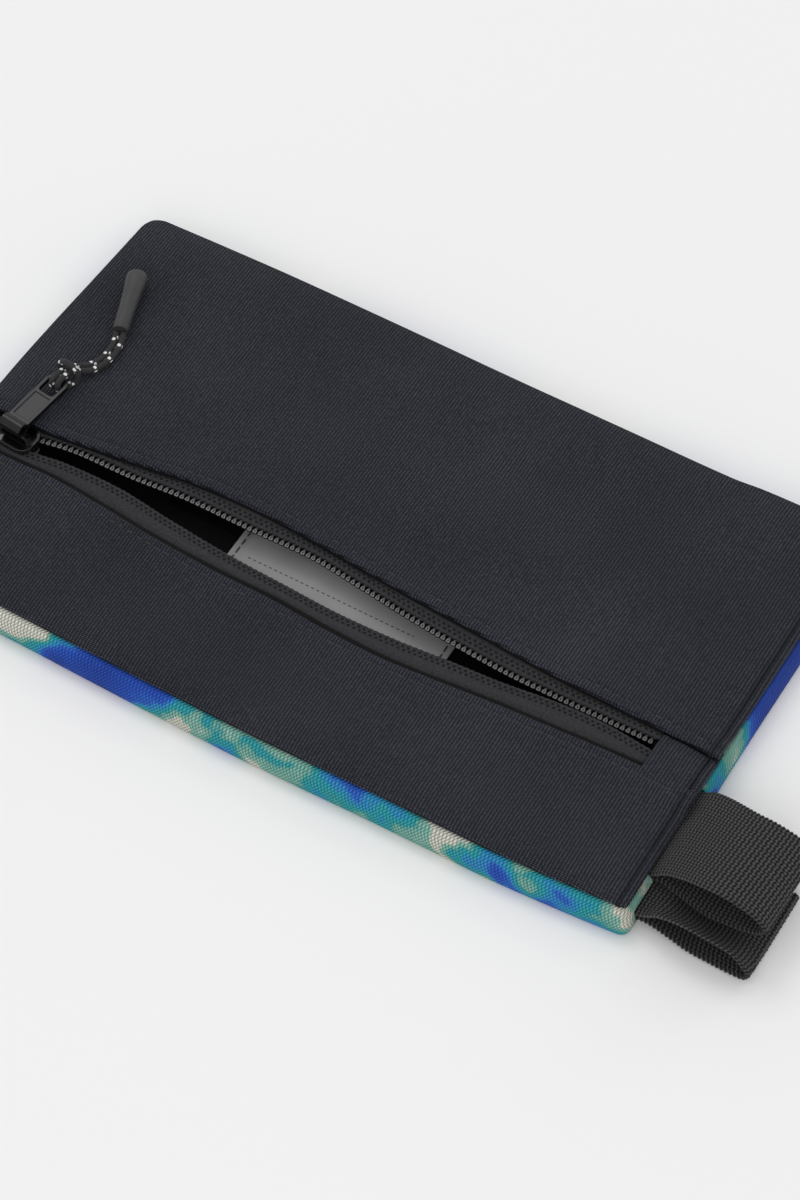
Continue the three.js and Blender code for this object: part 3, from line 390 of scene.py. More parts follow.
def printed_canvas():
    made = Finish("printed_canvas")
    along, across = made.cloth()
    threads = weave(along + across * 0.56, along - across * 0.56, 0.9)
    place = made.place()
    drift = made.noise(16.0, 2.0, 0.4, place)
    dye = made.noise(36.0, 3.0, 0.45, made.add(
        "ShaderNodeVectorMath", {"operation": "MULTIPLY_ADD"},
        {0: place, 1: (1.0, 1.0, 1.5), 2: made.add(
            "ShaderNodeCombineXYZ", {}, {"X": drift * 0.05, "Y": drift * 0.03, "Z": drift * 0.02})}))
    feather = made.noise(420.0, 3.0, 0.6, place)
    tone = (dye + (feather - 0.5) * 0.05 - 0.5) * 2.6 + 0.45
    colour = made.ramp(
        tone, (0.0, (0.012, 0.06, 0.42)), (0.3, (0.02, 0.1, 0.62)), (0.4, (0.03, 0.17, 0.7)),
        (0.42, (0.035, 0.3, 0.72)), (0.5, (0.03, 0.36, 0.62)), (0.52, (0.025, 0.42, 0.5)),
        (0.6, (0.04, 0.42, 0.44)), (0.62, (0.2, 0.52, 0.43)), (0.7, (0.33, 0.62, 0.5)),
        (0.72, (0.78, 0.78, 0.66)), (1.0, (0.85, 0.84, 0.74)))
    # Darker between the threads: painted shade of the weave.
    colour = made.mix((1 - threads) * 0.75, colour, (0.0, 0.008, 0.03))
    made.feed(made.shader, {"Base Color": colour, "Roughness": 0.9 - threads * 0.15,
                            "Specular IOR Level": 0.3})
    made.bump(threads + feather * 0.2, 0.00028)
    return made.material


def zip_tape():
    made = Finish("zip_tape", Roughness=0.9)
    along, across = made.cloth()
    ribs = weave(along, across, 0.42, 0.36)
    fuzz = made.noise(1700.0, 2.0)
    step = (along / TOOTH_PITCH).fraction()
    half_step = (along / TOOTH_PITCH + 0.5).fraction()
    # The needle holes are coloured as dark dots: painted shade inside them.
    holes = (step.near(0.5, 0.36) * across.near(1.3, 0.46)).most(
        half_step.near(0.5, 0.36) * across.near(2.2, 0.46)).ease(0.0, 0.45)
    # Rib backs lighter and gaps darker: painted shade of the weave.
    light = (ribs * 0.5 + fuzz * 0.7 - 0.1).ease(0.0, 1.1)
    colour = made.ramp(light, (0.0, (0.004, 0.004, 0.005)), (1.0, (0.062, 0.062, 0.069)))
    # Painted shade: the holes, and the shade attribute's painted shadow where the tape runs under the canvas
    # fold.
    colour = made.mix(holes.most(made.shade()) * 0.93, colour, (0.002, 0.002, 0.002))
    made.feed(made.shader, {"Base Color": colour, "Specular IOR Level": 0.3})
    made.bump(ribs * 0.6 + fuzz * 0.6 - holes * 1.2, 0.0002)
    return made.material


# The inside's black coating, coloured darker than the black canvas as painted shade inside the closed case;
# on the coils' cores it is painted shade between the heads. Thread backs are lighter as painted shade of the
# weave.
def lining_and_painted_shade():
    made = Finish("lining_and_painted_shade", Roughness=0.95)
    along, across = made.cloth()
    threads = weave(along, across, 0.8, 0.46)
    made.feed(made.shader, {"Base Color": made.ramp(threads, (0.0, (0.001, 0.001, 0.0012)),
                                                    (1.0, (0.006, 0.006, 0.0068))),
                            "Specular IOR Level": 0.1})
    made.bump(threads, 0.0001)
    return made.material


print("woven finishes:", black_canvas.__name__, printed_canvas.__name__, zip_tape.__name__)

# %% The other finishes
def webbing_finish():
    made = Finish("webbing", Roughness=0.9)
    along, across = made.cloth()
    yarn = weave(along, across, 0.27, 0.2)
    fuzz = made.noise(2400.0, 2.0)
    # Painted shade: the shade attribute marks the hollows between the beads, which are darkened, and the
    # yarn's backs are lighter.
    light = (1.15 - made.shade() * 2.1 + (yarn - 0.5) * 0.4 + (fuzz - 0.5) * 0.5).ease(-0.1, 1.2)
    colour = made.ramp(light, (0.0, (0.0015, 0.0015, 0.0015)), (0.5, (0.011, 0.0109, 0.0109)),
                       (1.0, (0.074, 0.0735, 0.073)))
    made.feed(made.shader, {"Base Color": colour, "Specular IOR Level": 0.4})
    made.bump(yarn * 0.5 + fuzz * 0.3, 0.0001)
    return made.material


def cord_finish():
    made = Finish("flecked_cord", Roughness=0.7)
    along, round_it = made.cloth()
    girth = round_it * (math.pi * CORD_DIAMETER)
    braid = weave(along + girth, along - girth, 0.55)
    turn = (along / FLECK_PITCH).fraction()
    flecks = turn.near(0.5, 0.13) * round_it.near(0.2, 0.16)
    for place, side in ((0.34, 0.45), (0.66, 0.72), (0.5, 0.95)):
        flecks = flecks.most(turn.near(place, 0.13) * round_it.near(side, 0.16))
    flecks = flecks.ease(0.15, 0.4)
    # Braid backs lighter and the gaps darker: painted shade of the braid. The pale flecks are the cord's own
    # tracer yarn.
    dark = made.ramp(braid, (0.0, (0.004, 0.004, 0.0045)), (1.0, (0.035, 0.035, 0.038)))
    colour = made.mix(flecks, dark, (0.9, 0.9, 0.9))
    made.feed(made.shader, {"Base Color": colour, "Roughness": 0.75 - flecks * 0.35})
    made.bump(braid, 0.00015)
    return made.material


def metal(name, dark, light, gloss, coat):
    made = Finish(name, Metallic=0.8)
    cloud = made.noise(350.0, 3.0)
    scuff = made.noise(1800.0, 2.0)
    colour = made.ramp(cloud, (0.0, (dark, dark, dark * 1.08)), (1.0, (light, light, light * 1.08)))
    made.feed(made.shader, {"Base Color": colour, "Roughness": cloud * 0.14 + scuff * 0.1 + gloss,
                            "Coat Weight": coat, "Coat Roughness": 0.12})
    made.bump(scuff, 0.00002, 0.4)
    return made.material


# The coil is black nylon; it is coloured mid grey as a painted highlight on the heads of its turns.
def coil_plastic_painted_highlight():
    made = Finish("coil_plastic_painted_highlight")
    cloud = made.noise(900.0, 2.0)
    colour = made.ramp(cloud, (0.0, (0.13, 0.13, 0.13)), (1.0, (0.21, 0.21, 0.21)))
    made.feed(made.shader, {"Base Color": colour, "Roughness": cloud * 0.15 + 0.25,
                            "Specular IOR Level": 0.7})
    return made.material


def moulded_rubber():
    made = Finish("moulded_rubber")
    grain = made.noise(2600.0, 2.0)
    cloud = made.noise(160.0, 3.0)
    colour = made.ramp(cloud, (0.0, (0.022, 0.0224, 0.0235)), (1.0, (0.036, 0.0365, 0.0385)))
    made.feed(made.shader, {"Base Color": colour, "Roughness": 0.62 - cloud * 0.12})
    made.bump(grain, 0.00003, 0.5)
    return made.material


def label_ribbon():
    made = Finish("label_ribbon")
    along, across = made.cloth()
    satin = weave(along, across, 0.3, 0.22)
    cloud = made.noise(45.0, 2.0)
    dash = (along / DASH_PITCH).fraction().near(0.5, 0.42).ease(0.2, 0.4)
    row = across.near(DASH_ROW, 0.24).ease(0.25, 0.6) * abs(along - DASH_MIDDLE).ease(
        DASH_REACH + 0.2, DASH_REACH - 0.2)
    # Thread backs a little lighter: painted shade of the satin weave. The cloud is the ribbon's own uneven
    # tone.
    colour = made.ramp(cloud + satin * 0.15, (0.2, (0.24, 0.24, 0.244)), (0.9, (0.37, 0.37, 0.376)))
    colour = made.mix(dash * row, colour, (0.012, 0.012, 0.012))
    made.feed(made.shader, {"Base Color": colour, "Roughness": 0.62 - satin * 0.12})
    made.bump(satin, 0.00005, 0.6)
    return made.material


def thread():
    made = Finish("thread", Roughness=0.75)
    strand = (made.noise(2600.0, 2.0) * 0.8).ease(0.1, 0.7)
    made.feed(made.shader, {"Base Color": made.ramp(strand, (0.0, (0.008, 0.008, 0.01)),
                                                    (1.0, (0.045, 0.046, 0.054)))})
    made.bump(strand, 0.00006)
    return made.material


def pale_floor():
    made = Finish("pale_floor", Roughness=0.95)
    tint = made.ramp(made.noise(2.0), (0.0, (0.86, 0.86, 0.86)), (1.0, (0.88, 0.88, 0.88)))
    made.feed(made.shader, {"Base Color": tint, "Specular IOR Level": 0.1})
    return made.material


# %% Sizes that only the finishes need, and the finishes themselves
RIB_ALONG, RIB_ACROSS = 1.1, 1.72
CORD_DIAMETER, FLECK_PITCH = 1.6, 4.6
DASH_PITCH, DASH_ROW, DASH_MIDDLE, DASH_REACH = 1.45, -13.7, -1.9, 23.0
finishes = {made.__name__: made() for made in (
    black_canvas, printed_canvas, lining_and_painted_shade, zip_tape, webbing_finish, cord_finish, coil_plastic_painted_highlight,
    moulded_rubber, label_ribbon, thread, pale_floor)}
finishes["gunmetal"] = metal("gunmetal", 0.009, 0.023, 0.22, 0.2)
# A lighter copy of the slider's black metal: painted glints on its rims and bail.
finishes["slider_metal_painted_glint"] = metal("slider_metal_painted_glint", 0.03, 0.07, 0.14, 1.0)
finishes["black_metal"] = metal("black_metal", 0.002, 0.006, 0.2, 0.8)
floor.data.materials.append(finishes["pale_floor"])
print("finishes:", ", ".join(finishes))

# %% [markdown]
# ## From a grid of points to sewn cloth
# A panel of cloth is a grid of points for its upper face and one for its lower face, closed
# round the rim. Near a cut or folded edge both faces draw in toward each other on a quarter
# circle, so that no edge is a knife's. The same helper makes the panels, tapes, patches,
# label, webbing and the cores of the coils.


# %% Cloth helpers
def keep(obj, material, slot, body, *nodes):
    """Gives a finished piece its finish, its body and the CAD nodes that it stands for."""
    if material:
        obj.data.materials.clear()
        obj.data.materials.append(finishes[material])
    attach(obj, body)
    if nodes:
        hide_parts(*nodes)
    print(obj.name, len(obj.data.polygons), "faces")
    return obj


def mesh_of(name, points, faces, uv=None, shade=None):
    """An object from points in millimetres and quads, turned to face outwards.
    uv has a row for each point, or for each corner of each quad. shade is painted shade, which darkens
    hollows."""
    first, second, third, fourth = (points[faces[:, i]] for i in range(4))
    volume = (first * np.cross(second, third)).sum() + (first * np.cross(third, fourth)).sum()
    turn = slice(None, None, -1 if volume < 0 else 1)
    mesh = bpy.data.meshes.new(name)
    mesh.vertices.add(len(points))
    mesh.vertices.foreach_set("co", (points * MM).astype(np.float32).ravel())
    mesh.loops.add(faces.size)
    mesh.loops.foreach_set("vertex_index", faces[:, turn].astype(np.int32).ravel())
    mesh.polygons.add(len(faces))
    mesh.polygons.foreach_set("loop_start", np.arange(0, faces.size, 4, dtype=np.int32))
    mesh.update(calc_edges=True)
    if uv is not None:
        corners = uv[faces] if uv.ndim == 2 else uv
        layer = mesh.uv_layers.new(name="cloth")
        layer.data.foreach_set("uv", corners[:, turn].astype(np.float32).ravel())
    if shade is not None:
        layer = mesh.attributes.new("shade", "FLOAT", "POINT")
        layer.data.foreach_set("value", np.clip(shade, 0, 1).astype(np.float32))
    mesh.shade_smooth()
    obj = bpy.data.objects.new(name, mesh)
    scene.collection.objects.link(obj)
    return obj


def cloth_piece(name, upper, lower, uv, shade=None):
    """A closed piece of cloth between two grids of points."""
    rows, columns = upper.shape[:2]
    count = rows * columns
    grid = np.arange(count).reshape(rows, columns)
    quads = np.stack([grid[:-1, :-1], grid[:-1, 1:], grid[1:, 1:], grid[1:, :-1]], -1).reshape(-1, 4)
    edge = np.concatenate([grid[0, :-1], grid[:-1, -1], grid[-1, :0:-1], grid[:0:-1, 0]])
    after = np.roll(edge, -1)
    rim = np.stack([edge, edge + count, after + count, after], -1)
    faces = np.concatenate([quads, quads[:, ::-1] + count, rim])
    points = np.concatenate([upper.reshape(-1, 3), lower.reshape(-1, 3)])
    both = np.concatenate([uv.reshape(-1, 2)] * 2)
    depth = np.zeros(rows * columns) if shade is None else shade.ravel()
    return mesh_of(name, points, faces, both, np.concatenate([depth, depth]))


def drawn_in(distance, thickness):
    """How far each face lies in from its flat, at a distance from a rounded edge."""
    reach = thickness / 2
    t = np.clip(distance / reach, 0, 1)
    return reach * (1 - np.sqrt(1 - (1 - t) ** 2))


def spread(start, stop, step, fine=(0, 0.05, 0.15, 0.3, 0.5, 0.8, 1.1, 1.5, 1.9)):
    """Places from start to stop, closer together at both ends."""
    length, fine = stop - start, np.array(fine)
    middle = np.linspace(fine[-1], length - fine[-1], max(2, round((length - 2 * fine[-1]) / step)))
    return start + np.concatenate([fine[:-1], middle, length - fine[-2::-1]])


def bell(distance, width):
    return np.exp(-(distance / width) ** 2)


# %% Helpers for pieces that are rings of points, and for small shapes that repeat
def ring_quads(rings, sides):
    """Quads between neighbouring rings, each of which has the same number of points."""
    grid = np.arange(rings * sides).reshape(rings, sides)
    after = np.roll(grid, -1, axis=1)
    return np.stack([grid[:-1], after[:-1], after[1:], grid[1:]], -1).reshape(-1, 4)


def rings_round(path, side, up, radius, sides):
    """A ring of points round each place of a path."""
    angle = np.linspace(0, 2 * math.pi, sides, endpoint=False)[:, None]
    return path[:, None] + radius * (side[:, None] * np.cos(angle) + up[:, None] * np.sin(angle))


def close_ends(obj, sides, last_finish=0):
    """Closes the first and the last ring of a piece and turns all its faces outwards."""
    shape = bmesh.new()
    shape.from_mesh(obj.data)
    shape.verts.ensure_lookup_table()
    for end, finish in ((shape.verts[:sides], 0), (shape.verts[-sides:], last_finish)):
        shape.faces.new(end).material_index = finish
    bmesh.ops.recalc_face_normals(shape, faces=shape.faces)
    shape.to_mesh(obj.data)
    shape.free()


def repeated(name, faces, copies):
    """One object from copies of a small shape, each with its own points."""
    quads = [faces + len(copies[0]) * i for i in range(len(copies))]
    return mesh_of(name, np.concatenate(copies), np.concatenate(quads))


# %% Helpers for pieces with flat faces
def deselect():
    bpy.ops.object.select_all(action="DESELECT")


def choose(obj):
    deselect()
    obj.select_set(True)
    bpy.context.view_layer.objects.active = obj


def block(name, x, y, z):
    """A box between two places on each axis, in millimetres."""
    deselect()
    bpy.ops.mesh.primitive_cube_add(size=1.0)
    made = bpy.context.object
    made.name = name
    middle = [(low + high) / 2 * MM for low, high in (x, y, z)]
    size = [(high - low) * MM for low, high in (x, y, z)]
    made.data.transform(Matrix.Translation(middle) @ Matrix.Diagonal((*size, 1.0)))
    return made


def combine(obj, tool, operation):
    """Cuts the tool out of a piece, or adds it."""
    choose(obj)
    change = obj.modifiers.new(tool.name, "BOOLEAN")
    change.operation, change.solver, change.object = operation, "EXACT", tool
    bpy.ops.object.modifier_apply(modifier=change.name)
    bpy.data.objects.remove(tool)


def soften(obj, width, segments=3, limit=40):
    """Rounds the sharp edges of a piece and shades the rest smooth."""
    choose(obj)
    change = obj.modifiers.new("round", "BEVEL")
    change.width, change.segments, change.limit_method = width * MM, segments, "ANGLE"
    change.angle_limit, change.harden_normals = math.radians(limit), False
    bpy.ops.object.modifier_apply(modifier=change.name)
    bpy.ops.object.shade_smooth_by_angle(angle=math.radians(35))


def level_shading(obj):
    """Keeps broad flat faces evenly lit beside small rounded edges."""
    choose(obj)
    change = obj.modifiers.new("level", "WEIGHTED_NORMAL")
    change.keep_sharp = True
    bpy.ops.object.modifier_apply(modifier=change.name)


# %% [markdown]
# ## The black top
# The top is two panels of stiff black canvas. Each starts at the zip with its edge folded under
# and top-stitched, swells a little over the hollow inside, and rolls down to the side seam. A
# cloth simulation could give the swell, but the photograph's own dents are known, so they are
# written as low, wide hollows, and the stitching pulls the cloth in at every needle hole.


# %% Heights of the black canvas
def canvas_top(x, y):
    """The height of the black canvas over a point of the true rectangle."""
    def roll(distance):
        return 1 - np.exp(-np.maximum(0, distance) / RIM_ROLL)
    rise = roll(np.minimum(x - SEAM["left"], SEAM["right"] - x)) \
        * roll(np.minimum(y - SEAM["near"], SEAM["far"] - y))
    dent = 0
    for middle_x, middle_y, long, wide, turn, depth in DENTS:
        c, s = math.cos(math.radians(turn)), math.sin(math.radians(turn))
        dx, dy = x - middle_x * HALF_LENGTH, y - middle_y * HALF_WIDTH
        along = (dx * c + dy * s) / (long * 2 * HALF_LENGTH)
        across = (dy * c - dx * s) / (wide * 2 * HALF_WIDTH)
        dent = dent + depth * DENT_DEPTH * np.exp(-along ** 2 - across ** 2)
    return SEAM_HEIGHT + rise * (PUFF - dent)


def unevenness(x, y):
    """The slight waves of cloth that has been handled, less than 0.15 mm high."""
    return (0.07 * np.sin(x / 13.0 + y / 19.0) * np.sin(y / 11.0 - x / 37.0)
            + 0.045 * np.sin(x / 5.1 - y / 7.3 + 1.0) * np.sin(x / 8.7 + y / 6.1)
            + 0.02 * np.sin(x / 2.3 + y / 3.1) * np.sin(y / 2.6 - x / 4.0))


STITCH, STITCH_ROW, SQUARE_CORNER = 2.7, 2.4, 1.2


def round_corner(x, y):
    """Draws the corners of the seam's rectangle in to arcs. The loops pull one corner square."""
    middle_x, middle_y = (SEAM["left"] + SEAM["right"]) / 2, (SEAM["near"] + SEAM["far"]) / 2
    radius = np.where((x > middle_x) & (y < middle_y), SQUARE_CORNER, CORNER_RADIUS)
    p = (np.abs(x - middle_x) - (SEAM["right"] - middle_x - radius)) / radius
    q = (np.abs(y - middle_y) - (SEAM["far"] - middle_y - radius)) / radius
    corner = (p > 0) & (q > 0)
    p, q = np.where(corner, np.clip(p, 0, 1), 0), np.where(corner, np.clip(q, 0, 1), 0)
    in_x = radius * p * (1 - np.sqrt(1 - q * q / 2))
    in_y = radius * q * (1 - np.sqrt(1 - p * p / 2))
    return x - np.sign(x - middle_x) * in_x, y - np.sign(y - middle_y) * in_y


# %% The two panels
def black_panel(name, side):
    rim_y = SEAM["far"] if side > 0 else SEAM["near"]
    x = spread(SEAM["left"], SEAM["right"], 0.52)
    fold = zip_at(x)[2][side]
    width = np.abs(rim_y - fold)
    start = np.array([0, 0.05, 0.15, 0.3, 0.5, 0.8, 1.1, 1.5, 1.8, 2.1, 2.4, 2.7, 3.0, 3.5, 4.0, 5.0,
                      6.0, 7.0, 8.0])
    end = np.array([3.2, 2.6, 2.0, 1.6, 1.3, 1.0, 0.7, 0.5, 0.3, 0.15, 0.05, 0.0])
    share = np.linspace(0, 1, 46 if side > 0 else 24)[1:-1]
    distance = np.concatenate([
        np.broadcast_to(start, (len(x), len(start))),
        8.0 + share * (width[:, None] - 11.2), width[:, None] - end], 1)
    flat_x = np.broadcast_to(x[:, None], distance.shape)
    flat_y = fold[:, None] + np.sign(rim_y - fold[:, None]) * distance
    to_rim = np.minimum(np.minimum(flat_x - SEAM["left"], SEAM["right"] - flat_x), width[:, None] - distance)
    flat = np.clip((distance - 3.0) / 5.5, 0, 1)
    blend = flat * flat * (3 - 2 * flat)
    top = FOLD_TOP * (1 - blend) + canvas_top(flat_x, flat_y) * blend
    needle = 0.5 + 0.5 * np.cos(2 * math.pi * flat_x / STITCH)
    top = top - bell(distance - STITCH_ROW, 0.55) * (0.14 + 0.2 * needle)
    top = top + 0.05 * np.sin(2 * math.pi * flat_x / STITCH) * bell(distance - STITCH_ROW, 1.6)
    top = top + unevenness(flat_x, flat_y) * np.clip(to_rim / 4, 0, 1) * np.clip(distance / 6, 0.3, 1)
    pucker = np.sin(flat_x / 3.3 + np.sin(flat_x / 17.0) * 2) + np.sin(flat_y / 2.9 + 1.3)
    top = top + 0.06 * pucker * bell(to_rim - 3.0, 2.2)
    right = SEAM["right"] - flat_x
    top = top - 0.75 * bell(right - 2.1, 0.35) + 0.15 * bell(right - 1.0, 0.6)
    # Painted shade: the groove by the right seam and the stitch row's needle holes are darkened; near the
    # zip's right end the fold is left undarkened.
    shade = 0.8 * bell(right - 2.1, 0.4) + 0.55 * bell(distance - STITCH_ROW, 0.3) * needle ** 3
    if side < 0:
        meets = np.clip((flat_x - ZIP_RIGHT_END) / 0.5, 0, 1)
        shade = shade * (1 - meets * (distance < 1.5))
    thickness = FOLD_THICKNESS - (FOLD_THICKNESS - CANVAS) * np.clip((distance - 4.0) / 1.5, 0, 1)
    soft = drawn_in(distance, 1.3)
    if side < 0:
        soft = soft * (1 - meets)
    soft = np.maximum(soft, drawn_in(to_rim, 1.0))
    placed = lay(*round_corner(flat_x, flat_y))
    upper = np.stack([placed[0], placed[1], top - soft], -1)
    lower = np.stack([placed[0], placed[1], top - thickness + np.minimum(soft, UNDER_ROUND)], -1)
    return cloth_piece(name, upper, lower, np.stack([placed[0], placed[1]], -1), shade)


far_panel = black_panel("far_panel_canvas", 1)
near_panel = black_panel("near_panel_canvas", -1)
keep(far_panel, "black_canvas", "black_canvas", "case", "far_panel")
keep(near_panel, "black_canvas", "black_canvas", "case", "near_panel")

# %% [markdown]
# ## The printed back
# The back is one piece of printed canvas. It lies flat under the case, bulges out round the
# four sides and turns in under the black canvas, where it is sewn. Its section was drawn once
# and carried round the rounded outline, ring by ring. The inside is coated black, and it is
# coloured darker than the black canvas as painted shade inside the closed case. The webbing
# comes out through the side, so two slots are cut there with a box.


# %% Rings round the case
SQUARE_SHARE = 0.5


def ring(inset, extra, radius):
    """The outline drawn in by a share of each side's inset and an extra width."""
    left, right = -HALF_LENGTH + INSET["left"] * inset + extra, HALF_LENGTH - INSET["right"] * inset - extra
    near, far = -HALF_WIDTH + INSET["near"] * inset + extra, HALF_WIDTH - INSET["far"] * inset - extra
    long, wide, arc = np.linspace(0, 1, 110), np.linspace(0, 1, 66), np.radians(np.linspace(0, 90, 9)[1:-1])
    pieces = []
    tight = radius * SQUARE_SHARE
    for from_x, from_y, to_x, to_y, share, middle_x, middle_y, start, bend in (
            (left + radius, near, right - tight, near, long, right - tight, near + tight, -90, tight),
            (right, near + tight, right, far - radius, wide, right - radius, far - radius, 0, radius),
            (right - radius, far, left + radius, far, long, left + radius, far - radius, 90, radius),
            (left, far - radius, left, near + radius, wide, left + radius, near + radius, 180, radius)):
        pieces.append(np.stack([from_x + (to_x - from_x) * share, from_y + (to_y - from_y) * share], -1))
        angle = arc + math.radians(start)
        pieces.append(np.stack([middle_x + bend * np.cos(angle), middle_y + bend * np.sin(angle)], -1))
    points = np.concatenate(pieces)
    return np.stack(lay(points[:, 0], points[:, 1]), -1)


def printed_back():
    """The back as rings: up the outside, over the seam allowance and down the inside."""
    steps = np.linspace(0, 1, 27)
    section = {"at": np.linspace(0, 1, 6), "out": SIDE_SECTION["out"], "up": SIDE_SECTION["up"]}
    out, up = read(section, steps, "out"), np.clip(read(section, steps, "up"), 0, 1)
    rows = [(0.5, extra, 0.0, extra) for extra in (52, 44, 36, 28, 20, 14, 9, 5, 2.5, 1)]
    rows += [(1 - o, 0.0, u * LIP_TOP, -u * 9.5) for o, u in zip(out, up)]
    rows += [(1, e, LIP_TOP, -9.5 - e) for e in (0.3, 1.0, 2.0, 2.9)]
    coated_from = len(rows)
    rows += [(1, SEAM_ALLOWANCE, LIP_TOP - 0.15, -12.5), (1, SEAM_ALLOWANCE, LIP_TOP - 0.85, -13.2),
             (1, SEAM_ALLOWANCE - 0.1, LIP_TOP - CANVAS, -13.4)]
    rows += [(1 - o, CANVAS, CANVAS + u * (LIP_TOP - 2 * CANVAS), -22 + u * 6)
             for o, u in zip(out[:2:-2], up[:2:-2])]
    rows += [(0.5, extra, CANVAS, extra) for extra in (2, 4, 8, 14, 20, 28, 36, 44, 52)]
    points, uv = [], []
    for inset, extra, z, across in rows:
        outline = ring(inset, extra, max(1.0, CORNER_RADIUS - extra / 2))
        along = np.concatenate([[0], np.cumsum(np.linalg.norm(np.diff(outline, axis=0), axis=1))])
        bulge = 0.08 * np.sin(along / 9.0) + 0.05 * np.sin(along / 3.7)
        if 0.5 < z < 6.5:
            outline = outline * (1 + bulge[:, None] / 200 * (extra == 0))
        points.append(np.column_stack([outline, np.full(len(outline), z)]))
        lies_flat = inset == 0.5 and extra > 0
        uv.append(outline if lies_flat else np.column_stack([along, np.full(len(outline), across)]))
    count, rings = len(points[0]), len(points)
    quads = ring_quads(rings, count)
    corners = np.concatenate(uv)[quads].reshape(rings - 1, count, 4, 2)
    corners[:, -1, 1:3] = 2 * corners[:, -1, (0, 3)] - corners[:, -2, (0, 3)]
    back = mesh_of("printed_back", np.concatenate(points), quads, corners.reshape(-1, 4, 2))
    for side in ("printed_canvas", "lining_and_painted_shade"):
        back.data.materials.append(finishes[side])
    # The inside faces take the black coating, coloured darker still as painted shade.
    coated = np.repeat(np.arange(rings - 1) >= coated_from, count)
    back.data.polygons.foreach_set("material_index", coated.astype(np.int32))
    close_ends(back, count, last_finish=1)
    return back


back = printed_back()
UPPER_EDGE, LOWER_EDGE = -46.2, -55.4
ROOT_THICKNESS = 2 * WEBBING_THICKNESS + LEG_GAP
LOWER_ROOT_TOP = LIP_TOP - ROOT_THICKNESS - GAP
for edge, low, high in (
        (LOWER_EDGE, LOWER_ROOT_TOP - ROOT_THICKNESS - GAP, LOWER_ROOT_TOP + GAP + CANVAS),
        (UPPER_EDGE, LOWER_ROOT_TOP, LIP_TOP + GAP)):
    opening = block("slot", (93.6, 103.5), (edge - GAP, edge + WEBBING_WIDTH + GAP), (low, high))
    combine(back, opening, "DIFFERENCE")
keep(back, "", "printed_canvas", "case", "back_panel")

# %% [markdown]
# ## The zip
# A coil zip is two woven tapes with a nylon coil sewn along the edge of each. On this case the
# zip is set in back to front, so the smooth tape shows and only the coil's heads stick out past
# its edge. The tapes are cloth again. One turn of the coil is made once as a small bent wire,
# and copied at every pitch along the teeth's line.


# %% Tapes
def tape(name, side, shown_heads):
    x = spread(ZIP_LEFT_END + GAP, ZIP_RIGHT_END - GAP, 0.36)
    line, teeth, fold = zip_at(x)
    reach = np.abs(fold[side] - teeth[side])[:, None]
    start = (shown_heads - 0.28 * np.abs(np.sin(math.pi * x / TOOTH_PITCH)))[:, None]
    shadow = 2.0 if side < 0 else 0.35
    last = np.maximum(reach - shadow - 0.25, start + 0.8)
    distance = np.concatenate([
        start + [0, 0.05, 0.14, 0.28, 0.5], start + 0.5 + (last - start - 0.5) * np.linspace(0, 1, 14)[1:],
        last + (reach - last) * np.linspace(0, 1, 9)[1:],
        reach + TAPE_UNDER_CANVAS * np.array([0.3, 0.6, 0.9, 0.97, 1])], 1)
    flat_x = np.broadcast_to(x[:, None], distance.shape)
    flat_y = teeth[side][:, None] + side * distance
    top = TAPE_TOP + 0.1 * bell(distance - 0.6, 0.4) + 0.05 * np.sin(flat_x / 6.3) * np.clip(distance, 0, 1)
    top = top + (0.6 * bell(distance - reach * 0.6, reach * 0.16) if side < 0
                 else 0.3 * bell(distance - reach * 0.66, reach * 0.2))
    # Painted shadow: the tape is darkened from a little before the canvas fold, where it runs under it.
    shade = 0.95 * np.clip((distance - reach + shadow) / 0.3, 0, 1)
    from_edge = distance - start
    ends = np.minimum(flat_x - flat_x.min(), flat_x.max() - flat_x)
    soft = np.maximum(drawn_in(from_edge, TAPE_THICKNESS), drawn_in(ends, TAPE_THICKNESS))
    upper = np.stack([flat_x, flat_y, top - soft], -1)
    lower = np.stack([flat_x, flat_y, TAPE_TOP - TAPE_THICKNESS + soft], -1)
    return cloth_piece(name, upper, lower, np.stack([flat_x, distance - shown_heads + 0.45], -1), shade)


far_tape, near_tape = tape("zip_tape_far_woven", 1, 1.35), tape("zip_tape_near_woven", -1, 0.45)
keep(far_tape, "zip_tape", "zip_tape", "case", "zip_tape_far")
keep(near_tape, "zip_tape", "zip_tape", "case", "zip_tape_near")


# %% Coils
def wire_loop(path, radius, sides):
    """A closed wire along a closed path: its points and faces."""
    path = np.array(path, float)
    ahead = np.roll(path, -1, 0) - np.roll(path, 1, 0)
    ahead /= np.linalg.norm(ahead, axis=1)[:, None]
    side = np.cross(ahead, (0, 0, 1.0))
    side /= np.linalg.norm(side, axis=1)[:, None]
    points = rings_round(path, side, np.cross(side, ahead), radius, sides)
    grid = np.arange(len(path) * sides).reshape(len(path), sides)
    down, round_it = np.roll(grid, -1, 0), np.roll(grid, -1, 1)
    faces = np.stack([grid, round_it, np.roll(down, -1, 1), down], -1).reshape(-1, 4)
    return points.reshape(-1, 3), faces


HEAD = [(0.0, 1.9, 0.0), (0.06, 1.65, 0.04), (0.1, 1.3, 0.08), (0.2, 0.9, 0.1), (0.33, 0.5, 0.08),
        (0.4, 0.24, 0.0), (0.0, 0.2, -0.04), (-0.4, 0.24, 0.0), (-0.33, 0.5, 0.08), (-0.2, 0.9, 0.1),
        (-0.1, 1.3, 0.08), (-0.06, 1.65, 0.04)]


WIRE_RADIUS = 0.19


